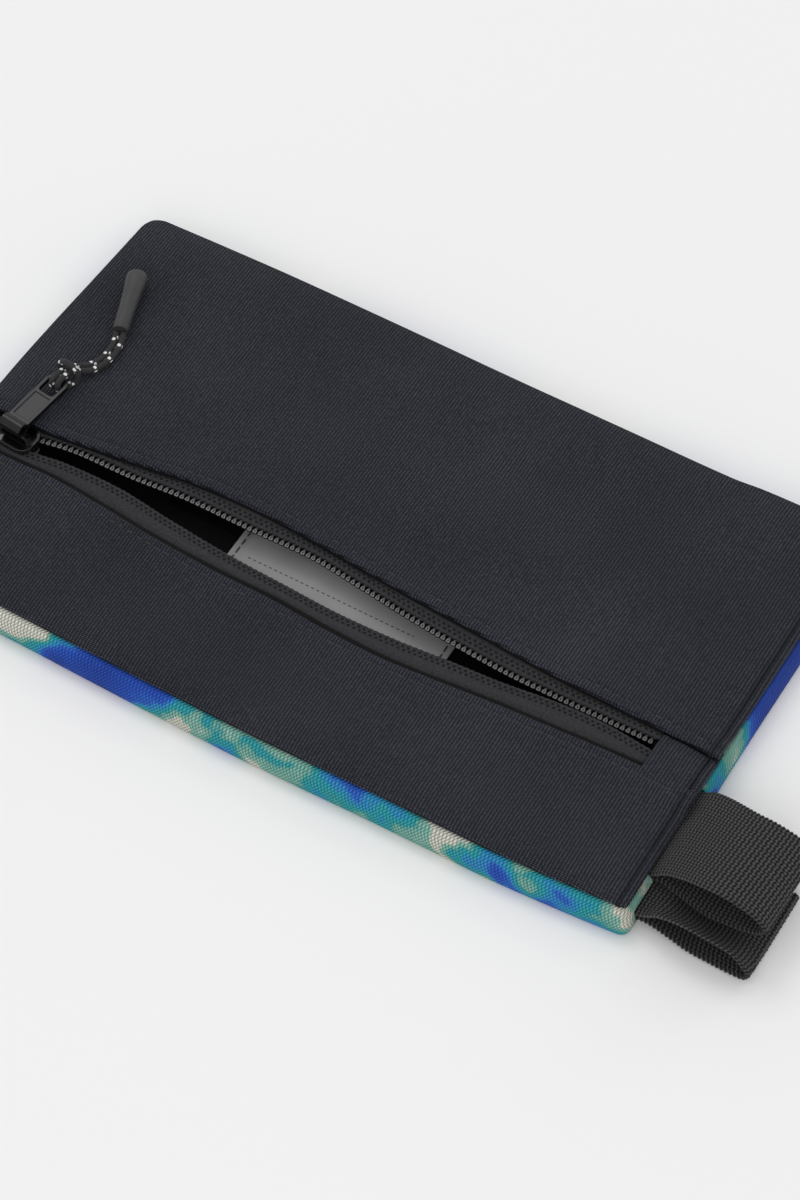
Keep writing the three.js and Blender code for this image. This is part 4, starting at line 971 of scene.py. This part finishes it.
def coil(name, side):
    turn, faces = wire_loop(HEAD, WIRE_RADIUS, 6)
    count = int((ZIP_RIGHT_END - ZIP_LEFT_END - 2 * GAP) / TOOTH_PITCH)
    x = ZIP_LEFT_END + GAP + (np.arange(count) + 0.5) * TOOTH_PITCH
    teeth = zip_at(x)[1][side]
    slope = (zip_at(x + 0.5)[1][side] - zip_at(x - 0.5)[1][side])
    return repeated(name, faces, [
        np.column_stack([x[i] + turn[:, 0], teeth[i] + side * turn[:, 1] + slope[i] * turn[:, 0],
                         TEETH_TOP - 0.36 + turn[:, 2]]) for i in range(count)])


for name, side, node in (("zip_coil_far", 1, "zip_teeth_far"), ("zip_coil_near", -1, "zip_teeth_near")):
    keep(coil(name, side), "coil_plastic_painted_highlight", "zip_teeth", "case", node)


# %% The coil's core, sewn under each tape and reaching out under the heads as a dark strip: painted shade between the coil's heads
def coil_core_and_shade_strip(name, side):
    x = np.linspace(ZIP_LEFT_END + GAP, ZIP_RIGHT_END - GAP, 900)
    teeth = zip_at(x)[1][side]
    across = np.array([0.2, 0.3, 0.7, 1.3, 1.6, 1.9, 2.3, 2.5, 2.6])
    height = np.array([-0.05, 0.0, 0.0, 0.04, 0.38, 0.5, 0.5, 0.38, 0.0])
    depth = np.array([0.0, 0.1, 0.15, 0.15, 0.38, 0.5, 0.5, 0.38, 0.0])
    turn = math.pi * (x - ZIP_LEFT_END - GAP) / TOOTH_PITCH
    distance = across - 0.22 * np.abs(np.sin(turn))[:, None] * (across < 0.5)
    flat_x = np.broadcast_to(x[:, None], distance.shape)
    flat_y = teeth[:, None] + side * distance
    upper = np.stack([flat_x, flat_y, TEETH_TOP - 0.6 + height + 0 * distance], -1)
    lower = np.stack([flat_x, flat_y, TEETH_TOP - 0.7 - depth + 0 * distance], -1)
    return cloth_piece(name, upper, lower, np.stack([flat_x, flat_y], -1))


for name, side in (("zip_core_and_shade_far", 1), ("zip_core_and_shade_near", -1)):
    keep(coil_core_and_shade_strip(name, side), "lining_and_painted_shade", "zip_teeth", "case")


# %% [markdown]
# ## The ends of the zip
# Each end of the zip is covered by a small patch of the black canvas. Its edge towards the
# opening is folded under, its near side runs on level with the near panel, and its far side
# dips under the far panel's fold.


# %% Patches
def patch(name, from_x, to_x, open_side):
    x = spread(from_x, to_x, 0.4, (0, 0.05, 0.15, 0.3, 0.5, 0.8))
    fold = zip_at(x)[2]
    gap = (fold[1] - fold[-1])[:, None]
    share = np.concatenate([[-0.24, -0.1, -0.005, 0.0], np.linspace(0.02, 0.94, 34),
                            [0.955, 0.97, 0.985, 1.0, 1.1, 1.24]])
    flat_y = fold[-1][:, None] + gap * share
    flat_x = np.broadcast_to(x[:, None], flat_y.shape)
    from_near = np.broadcast_to(share, flat_y.shape)
    dip = np.clip((from_near - 0.55) / 0.42, 0, 1)
    shown = (from_near >= 0) * np.clip((0.985 - from_near) / 0.04, 0, 1)
    level = FOLD_TOP - 0.95 * dip * dip * (3 - 2 * dip)
    top = TAPE_TOP + (level - TAPE_TOP) * shown
    top = top + unevenness(flat_x, flat_y) * np.clip(from_near * 4, 0.3, 1) * shown
    from_open = (flat_x - from_x) if open_side < 0 else (to_x - flat_x)
    to_seam = (to_x - flat_x) if open_side < 0 else (flat_x - from_x)
    needle = 0.5 + 0.5 * np.cos(2 * math.pi * flat_y / STITCH)
    top = top - bell(from_open - STITCH_ROW, 0.5) * (0.12 + 0.15 * needle) * shown
    top = top + (canvas_top(flat_x, flat_y) - SEAM_HEIGHT - PUFF) * np.clip(1 - to_seam / 8.0, 0, 1) * shown
    if open_side < 0:
        top = top - (0.75 * bell(to_seam - 2.1, 0.35) - 0.15 * bell(to_seam - 1.0, 0.6)) * shown
    soft = np.maximum(drawn_in(from_open, 1.2), drawn_in(to_seam, 1.0))
    # Painted shade in the needle holes and the groove by the seam, and a painted shadow where the patch dips
    # under the far panel's fold.
    shade = 0.5 * bell(from_open - STITCH_ROW, 0.3) * needle ** 3 + 0.8 * bell(to_seam - 2.1, 0.4)
    shade = np.maximum(shade, 0.9 * np.clip((from_near - 0.93) / 0.05, 0, 1))
    placed = lay(flat_x, flat_y)
    upper = np.stack([placed[0], placed[1], top - soft], -1)
    lower = np.stack([placed[0], placed[1], TAPE_TOP - CANVAS + np.minimum(soft, UNDER_ROUND)], -1)
    return cloth_piece(name, upper, lower, np.stack([placed[0], placed[1]], -1), shade)


for name, node, from_x, to_x, open_side in (
        ("zip_patch_right", "zip_end_right", ZIP_RIGHT_END, SEAM["right"], -1),
        ("zip_patch_left", "zip_end_left", SEAM["left"], ZIP_LEFT_END, 1)):
    piece = patch(name, from_x, to_x, open_side)
    keep(piece, "black_canvas", "black_canvas", "case", node)

# %% [markdown]
# ## Stitches
# A sewing thread shows as a row of short, plump bridges between needle holes. One stitch is a
# small capsule, and every row is a list of places and headings, so the whole case's stitching is
# one object.


# %% Stitch rows
def capsule(length, radius):
    """One stitch along X: its points and faces."""
    along = np.linspace(0, math.pi, 9)
    round_it = np.linspace(0, 2 * math.pi, 8, endpoint=False)
    width = radius * np.sin(along) ** 0.5
    points = np.stack([
        np.broadcast_to(-np.cos(along)[:, None] * length / 2, (9, 8)),
        width[:, None] * np.cos(round_it), width[:, None] * np.sin(round_it) * 0.8], -1)
    return points.reshape(-1, 3), ring_quads(9, 8)


def stitches(name, places):
    """Stitches at (x, y, z, heading) places, in millimetres and radians."""
    shape, faces = capsule(STITCH * 0.78, 0.2)
    copies = []
    for x, y, z, heading in places:
        c, s = math.cos(heading), math.sin(heading)
        turned = np.column_stack([shape[:, 0] * c - shape[:, 1] * s,
                                  shape[:, 0] * s + shape[:, 1] * c, shape[:, 2]])
        copies.append(turned + (x, y, z))
    made = repeated(name, faces, copies)
    choose(made)
    bpy.ops.object.mode_set(mode="EDIT")
    bpy.ops.mesh.select_all(action="SELECT")
    bpy.ops.mesh.remove_doubles(threshold=0.00001)
    bpy.ops.mesh.normals_make_consistent(inside=False)
    bpy.ops.object.mode_set(mode="OBJECT")
    return made


rows = []
for side in (1, -1):
    x = np.arange(SEAM["left"] + 5, SEAM["right"] - 5, STITCH)
    fold = zip_at(x)[2][side] + side * STITCH_ROW
    ahead = zip_at(x + 0.5)[2][side] - zip_at(x - 0.5)[2][side]
    placed = lay(x, fold)
    rows += list(zip(placed[0] + STITCH / 2, placed[1], np.full(len(x), FOLD_TOP - 0.32), ahead))
patch_fold = zip_at(np.array([ZIP_RIGHT_END + STITCH_ROW]))[2]
y = np.arange(patch_fold[-1][0] + 1.5, patch_fold[1][0] - 3.0, STITCH)
rows += [(ZIP_RIGHT_END + STITCH_ROW, place, FOLD_TOP - 0.42, math.pi / 2) for place in y]
keep(stitches("top_stitching", rows), "thread", "black_canvas", "case")

# %% [markdown]
# ## The label
# A grey ribbon is sewn to the inside of the back for a name. Only the row of dashes to write on
# is printed here. A row of stitches holds each short end.

# %% Label
LABEL = {"x": (-29.2, 30.8), "y": (-29.0, -4.0), "top": 1.78, "thickness": 0.4, "stitch_inset": 1.6}
label_x, label_y = spread(*LABEL["x"], 0.6), spread(*LABEL["y"], 0.6)
flat_x, flat_y = np.meshgrid(label_x, label_y, indexing="ij")
from_edge = np.minimum(np.minimum(flat_x - LABEL["x"][0], LABEL["x"][1] - flat_x),
                       np.minimum(flat_y - LABEL["y"][0], LABEL["y"][1] - flat_y))
ends = np.minimum(flat_x - LABEL["x"][0], LABEL["x"][1] - flat_x)
top = LABEL["top"] + 0.1 * np.sin(flat_x / 9.0) * np.sin(flat_y / 7.0 + 1) * np.clip(ends / 4, 0, 1) \
    - 0.12 * bell(ends - LABEL["stitch_inset"], 0.5)
soft = drawn_in(from_edge, LABEL["thickness"])
label = cloth_piece("write_on_label", np.stack([flat_x, flat_y, top - soft], -1),
                    np.stack([flat_x, flat_y, top - LABEL["thickness"] + soft], -1),
                    np.stack([flat_x, flat_y], -1))
keep(label, "label_ribbon", "label_ribbon", "case", "name_label")
label_rows = [(x, y, LABEL["top"] + 0.07, math.pi / 2)
              for x in (LABEL["x"][0] + LABEL["stitch_inset"], LABEL["x"][1] - LABEL["stitch_inset"])
              for y in np.arange(-26.5, -5.5, STITCH)]
keep(stitches("label_stitching", label_rows), "thread", "label_ribbon", "case")

# %% [markdown]
# ## The slider
# Each plate of the slider is made from a box: its nose is rounded by bevelling two upright edges
# a long way, its tail is narrowed, and the sharp edges are eased. The top plate is also sunk a
# little inside its rim. The bail is a wire, so it grows from a circle: up, round a bend by a
# spin, across, round again and down.

# %% Slider plates
HINGE = Vector((-88.6, float(zip_at(-88.4)[0]), 12.95))
TURN = Matrix.Rotation(math.radians(-7.0), 4, "Z")
SLIDER_X, SLIDER_REACH, PLATE, PLATE_GAP = -88.4, 5.8, 1.2, 0.45
TOP_PLATE, LOW_PLATE = TAPE_TOP + PLATE_GAP, TEETH_TOP - TEETH_THICKNESS - PLATE_GAP - PLATE
NOSE_RADIUS, RIM, SUNK = 3.4, 0.6, 0.5


def pick(obj, test, edges=False):
    """Selects the vertices, or the edges, whose ends all pass a test, and stays in edit mode."""
    choose(obj)
    bpy.ops.object.mode_set(mode="EDIT")
    bpy.ops.mesh.select_mode(type="EDGE" if edges else "VERT")
    bpy.ops.mesh.select_all(action="DESELECT")
    bpy.ops.object.mode_set(mode="OBJECT")
    if edges:
        for edge in obj.data.edges:
            edge.select = test(*(obj.data.vertices[i].co / MM for i in edge.vertices))
    else:
        for vertex in obj.data.vertices:
            vertex.select = test(vertex.co / MM)
    bpy.ops.object.mode_set(mode="EDIT")


def round_uprights(obj, where, radius, segments):
    """Bevels the upright edges in one region of a flat piece."""
    pick(obj, lambda a, b: where(a) and where(b) and abs(a.z - b.z) > 0.5, edges=True)
    bpy.ops.mesh.bevel(offset=radius * MM, segments=segments, affect="EDGES")
    bpy.ops.object.mode_set(mode="OBJECT")


def slider_plate(name, bottom, width, tail):
    made = block(name, (SLIDER_X - SLIDER_REACH, SLIDER_X + SLIDER_REACH),
                 (HINGE.y - width / 2, HINGE.y + width / 2), (bottom, bottom + PLATE))
    pick(made, lambda place: place.x < SLIDER_X)
    bpy.ops.transform.resize(value=(1, tail / width, 1), center_override=HINGE * MM)
    bpy.ops.object.mode_set(mode="OBJECT")
    round_uprights(made, lambda place: place.x > SLIDER_X, NOSE_RADIUS, 7)
    if bottom == TOP_PLATE:
        pick(made, lambda place: place.z > bottom + PLATE - 0.01)
        bpy.ops.mesh.inset(thickness=RIM * MM)
        bpy.ops.transform.translate(value=(0, 0, -SUNK * MM))
        bpy.ops.object.mode_set(mode="OBJECT")
    return made


slider = slider_plate("slider_and_bail", TOP_PLATE, width=8.6, tail=7.0)
soften(slider, 0.2, 3)
under = slider_plate("under_plate", LOW_PLATE, width=8.1, tail=6.6)
soften(under, 0.25, 2)
post = block("post", (SLIDER_X + 4.2, SLIDER_X + 5.5), (HINGE.y - 1.0, HINGE.y + 1.0),
             (LOW_PLATE + 0.6, TOP_PLATE + 0.6))
combine(slider, post, "UNION")
combine(slider, under, "UNION")

# %% Bail
WIRE, BEND, SPAN = 0.75, 1.1, 4.2
FOOT = TOP_PLATE + 0.5 - HINGE.z
deselect()
bpy.ops.mesh.primitive_circle_add(vertices=16, radius=WIRE * MM, fill_type="NGON",
                                  location=(-SPAN * MM, 0, FOOT * MM))
bail = bpy.context.object
bail.name = "bail"
bpy.ops.object.transform_apply(location=True, rotation=True, scale=True)
bpy.ops.object.mode_set(mode="EDIT")
bpy.ops.mesh.select_all(action="SELECT")
bpy.ops.mesh.extrude_region_move(TRANSFORM_OT_translate={"value": (0, 0, (-BEND - FOOT) * MM)})
bpy.ops.mesh.spin(steps=6, angle=math.pi / 2, center=((-SPAN + BEND) * MM, 0, -BEND * MM), axis=(0, 1, 0))
bpy.ops.mesh.extrude_region_move(TRANSFORM_OT_translate={"value": (2 * (SPAN - BEND) * MM, 0, 0)})
bpy.ops.mesh.spin(steps=6, angle=math.pi / 2, center=((SPAN - BEND) * MM, 0, -BEND * MM), axis=(0, 1, 0))
bpy.ops.mesh.extrude_region_move(TRANSFORM_OT_translate={"value": (0, 0, (BEND + FOOT) * MM)})
bpy.ops.mesh.select_all(action="SELECT")
bpy.ops.mesh.remove_doubles(threshold=0.000002)
bpy.ops.mesh.normals_make_consistent(inside=False)
bpy.ops.object.mode_set(mode="OBJECT")
bail.data.transform(Matrix.Translation(HINGE * MM) @ TURN)
bpy.ops.object.shade_smooth_by_angle(angle=math.radians(50))
for corner in (0, 6):
    print("bail corner at", [round(v / MM, 1) for v in bail.bound_box[corner]])
combine(slider, bail, "UNION")
bpy.ops.object.shade_smooth_by_angle(angle=math.radians(40))
level_shading(slider)
# The sunk floor of the top plate keeps the slider's own near-black metal; the rest takes the lighter copy,
# painted glint on its rims and bail.
for look in ("slider_metal_painted_glint", "black_metal"):
    slider.data.materials.append(finishes[look])
for face in slider.data.polygons:
    sunk = TOP_PLATE + PLATE - 0.7 < face.center.z / MM < TOP_PLATE + PLATE - 0.12
    face.material_index = int(sunk and face.normal.z > 0.5)
keep(slider, "", "gunmetal", "case", "zip_slider")

# %% [markdown]
# ## The tab
# The pull tab is a stamped plate. Its two far corners are bevelled round, a hole takes the cord,
# and a shallow recess is pressed into each face. A short tube at its near end turns on the bail.
# It is built in its own frame, with the tube on the X axis, and moved to the hinge at the end.

# %% Tab
TAB = {"half": 3.1, "length": 17.8, "half_thick": 0.7, "rim": 0.9, "recess": 0.3,
       "hole_along": (11.7, 16.3), "recess_along": (2.8, 10.8)}
BARREL_RADIUS, BORE_RADIUS = 1.9, 1.1


def rod(name, radius, length):
    """A round rod along X."""
    deselect()
    bpy.ops.mesh.primitive_cylinder_add(vertices=32, radius=radius * MM, depth=length * MM,
                                        rotation=(0, math.pi / 2, 0))
    made = bpy.context.object
    made.name = name
    bpy.ops.object.transform_apply(location=True, rotation=True, scale=True)
    return made


tab = block("tab", (-TAB["half"], TAB["half"]), (0.6, TAB["length"]),
            (-TAB["half_thick"], TAB["half_thick"]))
round_uprights(tab, lambda place: place.y > 2, 2.2, 6)
inner = TAB["half"] - TAB["rim"]
hole = block("hole", (-inner, inner), TAB["hole_along"], (-2, 2))
round_uprights(hole, lambda place: place.y > 2, 0.8, 4)
combine(tab, hole, "DIFFERENCE")
for level in (-TAB["half_thick"], TAB["half_thick"]):
    pressed = block("recess", (-inner, inner), TAB["recess_along"],
                    (level - TAB["recess"], level + TAB["recess"]))
    combine(tab, pressed, "DIFFERENCE")
soften(tab, 0.16, 2)
barrel = rod("barrel", BARREL_RADIUS, 2 * TAB["half"])
soften(barrel, 0.2, 2)
combine(tab, barrel, "UNION")
combine(tab, rod("bore", BORE_RADIUS, 12), "DIFFERENCE")
bpy.ops.object.shade_smooth_by_angle(angle=math.radians(32))
level_shading(tab)
PULL = Matrix.Translation(HINGE * MM) @ TURN
tab.data.transform(PULL)
keep(tab, "gunmetal", "gunmetal", "pull", "pull_tab")

# %% [markdown]
# ## The cord and its moulded end
# The cord is tied to the tab with a girth hitch: a loop is pushed up through the hole, and both
# strands go back through it. Its route is half a hitch, mirrored, and two strands side by side.
# A smooth curve runs through those points, and the tube follows it.

# %% Cord's route
HITCH = {
    "side": [0, 0.81, 1.47, 1.7, 1.625, 1.34, 0.97, 0.72, 0.61, 0.575, 0.56, 0.55, 0.54, 0.54],
    "along": [1.875, 1.875, 1.875, 1.81, 1.56, 1.06, 0.31, -0.5, -1.25, -1.53, -1.53, -1.28, -0.56, 0.31],
    "up": [1.78, 1.625, 1.125, 0.375, -0.31, -0.84, -1.04, -1.05, -0.875, -0.31, 0.28, 0.86, 1.05, 0.94],
}
TAIL = {
    "along": [0.0985, 0.184, 0.267, 0.357, 0.47, 0.616, 0.744, 0.877, 0.999],
    "side": [0.001, 0.01, 0.041, 0.094, 0.139, 0.162, 0.158, 0.125, 0.068],
    "up": [0.56, 0.06, -0.44, -0.94, -1.19, -1.25, -1.22, -0.94, -0.69],
    "apart": [1.1, 1.19, 1.19, 1.1, 1.14, 1.05, 1.07, 1.04, 1.075],
    "turn": [0, 0, -14.5, -24.5, -32, -6.8, 6.7, 21.2, 25.8],
}
TAIL_LENGTH = 20.3


def smooth_curve(points, count):
    """Evenly spaced points on a centripetal curve through the given ones."""
    points = np.array(points, float)
    points = np.concatenate([[2 * points[0] - points[1]], points, [2 * points[-1] - points[-2]]])
    out = []
    for a, b, c, d in zip(points, points[1:], points[2:], points[3:]):
        first, span, last = (max(np.linalg.norm(q - p) ** 0.5, 1e-6) for p, q in ((a, b), (b, c), (c, d)))
        start = span * ((b - a) / first - (c - a) / (first + span) + (c - b) / span)
        stop = span * ((c - b) / span - (d - b) / (span + last) + (d - c) / last)
        t = np.linspace(0, 1, 24, endpoint=False)[:, None]
        out.append(b + t * start + t * t * (3 * (c - b) - 2 * start - stop)
                   + t ** 3 * (2 * (b - c) + start + stop))
    out = np.concatenate([*out, [points[-2]]])
    far = np.concatenate([[0], np.cumsum(np.linalg.norm(np.diff(out, axis=0), axis=1))])
    even = np.linspace(0, far[-1], count)
    return np.stack([np.interp(even, far, out[:, axis]) for axis in range(3)], -1), far[-1]


def strand(hand):
    turn = np.radians(TAIL["turn"])
    aside = hand * np.array(TAIL["apart"]) * CORD_DIAMETER / 2
    return np.stack([np.array(TAIL["side"]) * TAIL_LENGTH + aside * np.cos(turn),
                     TAB["length"] + np.array(TAIL["along"]) * TAIL_LENGTH + aside * np.sin(turn),
                     np.array(TAIL["up"]) * CORD_DIAMETER], -1)


def half_hitch(hand):
    return np.stack([hand * np.array(HITCH["side"]) * CORD_DIAMETER,
                     TAB["length"] + np.array(HITCH["along"]) * CORD_DIAMETER,
                     np.array(HITCH["up"]) * CORD_DIAMETER], -1)


route = np.concatenate([strand(-1)[::-1], half_hitch(-1)[::-1], half_hitch(1)[1:], strand(1)])
centre, cord_length = smooth_curve(route, 340)
print("cord", round(cord_length, 1), "mm long")


# %% Cord
def tube(name, path, radius, sides, length):
    """A round tube along a path, with its own length and girth as its map."""
    ahead = np.gradient(path, axis=0)
    ahead /= np.linalg.norm(ahead, axis=1)[:, None]
    side = [np.cross(ahead[0], (0, 0, 1.0))]
    for heading in ahead[1:]:
        carried = side[-1] - heading * side[-1].dot(heading)
        side.append(carried / np.linalg.norm(carried))
    side = np.array(side)
    side[0] /= np.linalg.norm(side[0])
    points = rings_round(path, side, np.cross(side, ahead), radius, sides)
    step, share = np.meshgrid(np.linspace(0, length, len(path)), np.arange(sides + 1) / sides,
                              indexing="ij")
    map_grid = np.stack([step, share], -1)
    corners = np.stack([map_grid[:-1, :-1], map_grid[:-1, 1:], map_grid[1:, 1:], map_grid[1:, :-1]], 2)
    made = mesh_of(name, points.reshape(-1, 3), ring_quads(len(path), sides), corners.reshape(-1, 4, 2))
    close_ends(made, sides)
    return made


cord = tube("flecked_cord", centre, CORD_DIAMETER / 2 * 0.985, 16, cord_length)
cord.data.transform(PULL)
keep(cord, "cord_finish", "cord", "pull", "pull_cord")

# %% Moulded end
END = {"at": [0.0, 0.015, 0.04, 0.4, 0.68, 0.8, 0.87, 0.92, 0.955, 0.98, 0.993, 1.0],
       "wide": [0.66, 0.72, 0.74, 0.78, 0.87, 0.95, 1.0, 0.985, 0.92, 0.8, 0.64, 0.44],
       "high": [0.74, 0.8, 0.82, 0.84, 0.91, 0.96, 1.0, 0.985, 0.93, 0.82, 0.66, 0.48]}
END_LENGTH, END_WIDTH, END_HEIGHT, END_TURN = 18.7, 5.4, 4.4, math.radians(25.8)
deselect()
bpy.ops.mesh.primitive_circle_add(vertices=32, radius=0.0005, fill_type="NGON", rotation=(-math.pi / 2, 0, 0))
moulded = bpy.context.object
moulded.name = "moulded_end"
bpy.ops.object.transform_apply(location=True, rotation=True, scale=True)
bpy.ops.object.mode_set(mode="EDIT")
bpy.ops.mesh.select_all(action="SELECT")
wide, high = END_WIDTH * END["wide"][0], END_HEIGHT * END["high"][0]
bpy.ops.transform.resize(value=(wide, 1, high))
for before, after, next_wide, next_high in zip(END["at"], END["at"][1:], END["wide"][1:], END["high"][1:]):
    bpy.ops.mesh.extrude_region_move(
        TRANSFORM_OT_translate={"value": (0, (after - before) * END_LENGTH * MM, 0)})
    bpy.ops.transform.resize(
        value=(END_WIDTH * next_wide / wide, 1, END_HEIGHT * next_high / high),
        center_override=(0, after * END_LENGTH * MM, 0))
    wide, high = END_WIDTH * next_wide, END_HEIGHT * next_high
bpy.ops.mesh.select_all(action="SELECT")
bpy.ops.mesh.normals_make_consistent(inside=False)
bpy.ops.object.mode_set(mode="OBJECT")
bpy.ops.object.shade_smooth_by_angle(angle=math.radians(50))
mouth = (route[0] + route[-1]) / 2
rest = mouth[2] - END_HEIGHT * END["high"][0] / 2
shift = Vector((mouth[0] - GAP * math.sin(END_TURN), mouth[1] + GAP * math.cos(END_TURN),
                rest + END_HEIGHT / 2)) * MM
moulded.data.transform(PULL @ Matrix.Translation(shift) @ Matrix.Rotation(END_TURN, 4, "Z"))
keep(moulded, "moulded_rubber", "rubber_end", "pull", "pull_end")

# %% [markdown]
# ## The webbing loops
# Each loop is one inch webbing folded in two and sewn into the side seam. Its coarse weave is
# big enough to see in the outline, so the beads are real relief, not only shading. The upper
# loop leans on the lower one, which is pressed flat there.

# %% The loops' sections, which run out over the top to the fold and back underneath
UPPER = {
    "along": [0.1, 0.24, 0.38, 0.52, 0.64, 0.78, 0.9, 0.98,
              1.0, 0.94, 0.84, 0.7, 0.54, 0.38, 0.22, 0.08],
    "height": [0.42, 0.66, 0.86, 0.98, 1.0, 0.92, 0.8, 0.62,
               0.46, 0.28, 0.18, 0.11, 0.05, 0.02, 0.0, 0.02],
}
LOWER = {
    "along": [0.1, 0.2, 0.32, 0.46, 0.6, 0.74, 0.86, 0.95,
              1.0, 0.97, 0.86, 0.68, 0.5, 0.34, 0.2, 0.08],
    "height": [0.42, 0.7, 0.89, 1.0, 0.99, 0.95, 0.82, 0.52,
               0.26, 0.05, 0.0, 0.02, 0.05, 0.14, 0.2, 0.2],
}
UPPER_FLOOR, UPPER_SWEEP, LOW_TILT, TILT_RISE = 4.6, 3.8, 1.6, 2.3
LOWER_SWEEP, PINCH = 1.2, 7.6


def ease_over(value, share):
    return math.sin(min(value / share, 1) * math.pi / 2)


def upper_place(along, height, across):
    """The upper loop leans on the lower one: its near edge is high, its far edge low."""
    out, tilt = ease_over(along, 0.6), LOW_TILT + TILT_RISE * height
    return (UPPER_EDGE + across * WEBBING_WIDTH - UPPER_SWEEP * out * out,
            UPPER_FLOOR + WEBBING_THICKNESS / 2 + (LOOP_HEIGHT - WEBBING_THICKNESS) * height
            + tilt * out * (1 - across))


def lower_place(along, height, across):
    """The lower loop lies on the ground and is pressed flat where the upper one leans."""
    pinch = PINCH * ease_over(along, 0.4) * ease_over(across, 0.4)
    return (LOWER_EDGE + across * WEBBING_WIDTH - LOWER_SWEEP * ease_over(along, 0.6) ** 2,
            GAP + WEBBING_THICKNESS / 2 + (LOOP_HEIGHT - WEBBING_THICKNESS - pinch) * height)


# %% Webbing
LOOP_STEPS, LOOP_ROWS = 360, 120
BEAD_RELIEF, EDGE_SERRATION = 0.4, 0.2


def webbing_loop(name, section, root_top, place_of):
    half, root_x = WEBBING_THICKNESS / 2, SEAM["right"]
    middle, normal, total = [], [], 0
    acrosses = np.linspace(0, 1, LOOP_ROWS)
    for across in acrosses:
        root_y = place_of(0, 0, across)[0]
        low = root_top - ROOT_THICKNESS + half
        points = [(root_x - LOOP_ROOT, root_y, root_top - half), (root_x, root_y, root_top - half)]
        points += [(root_x + half + (LOOP_REACH - half) * along, *place_of(along, height, across))
                   for along, height in zip(section["along"], section["height"])]
        points += [(root_x, root_y, low), (root_x - LOOP_ROOT, root_y, low)]
        curve, length = smooth_curve(points, LOOP_STEPS)
        ahead = np.gradient(curve, axis=0)
        sideways = np.stack([-ahead[:, 2], 0 * ahead[:, 0], ahead[:, 0]], -1)
        middle.append(curve)
        normal.append(sideways / np.linalg.norm(sideways, axis=1)[:, None])
        total = max(total, length)
    middle, normal = np.array(middle), np.array(normal)
    step = np.broadcast_to(np.linspace(0, total, LOOP_STEPS), middle.shape[:2])
    cross = np.broadcast_to((acrosses * WEBBING_WIDTH)[:, None], middle.shape[:2])
    edge = np.minimum(cross, WEBBING_WIDTH - cross)
    rows = 2 * math.pi * cross / RIB_ACROSS
    groove = 1 - np.abs(np.sin(math.pi * (step / RIB_ALONG + 0.13 * np.cos(rows)))) ** 0.95
    waist = 0.5 - 0.5 * np.cos(2 * rows)
    beads = 1 - groove * (0.35 + 0.65 * waist) - 0.14 * (1 - groove) * waist
    inside = np.clip(np.minimum(step, total - step) / 3 - 1, 0, 1)
    relief = (beads - 0.75) * BEAD_RELIEF * inside * np.clip(edge / 0.8, 0.3, 1)
    rounding = drawn_in(edge, WEBBING_THICKNESS)
    serrated = EDGE_SERRATION * np.cos(2 * math.pi * step / RIB_ALONG) * bell(edge, 0.5) * inside
    middle = middle + np.stack([0 * edge, serrated * np.sign(cross - WEBBING_WIDTH / 2), 0 * edge], -1)
    thick = (half - rounding + relief)[..., None]
    print(name, "strip", round(total, 1), "mm long")
    # The beads' hollows go to the shade attribute as painted shade.
    made = cloth_piece(name, middle + normal * thick, middle - normal * thick,
                       np.stack([step, cross], -1), 1 - beads)
    return made, total


for name, node, section, root_top, place_of in (
        ("webbing_upper", "loop_upper", UPPER, LIP_TOP, upper_place),
        ("webbing_lower", "loop_lower", LOWER, LOWER_ROOT_TOP, lower_place)):
    loop, length = webbing_loop(name, section, root_top, place_of)
    keep(loop, "webbing_finish", "webbing", "case", node)

# %% Sizes
low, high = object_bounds()
print("shown box in mm:", [round(v / MM, 1) for v in high - low])
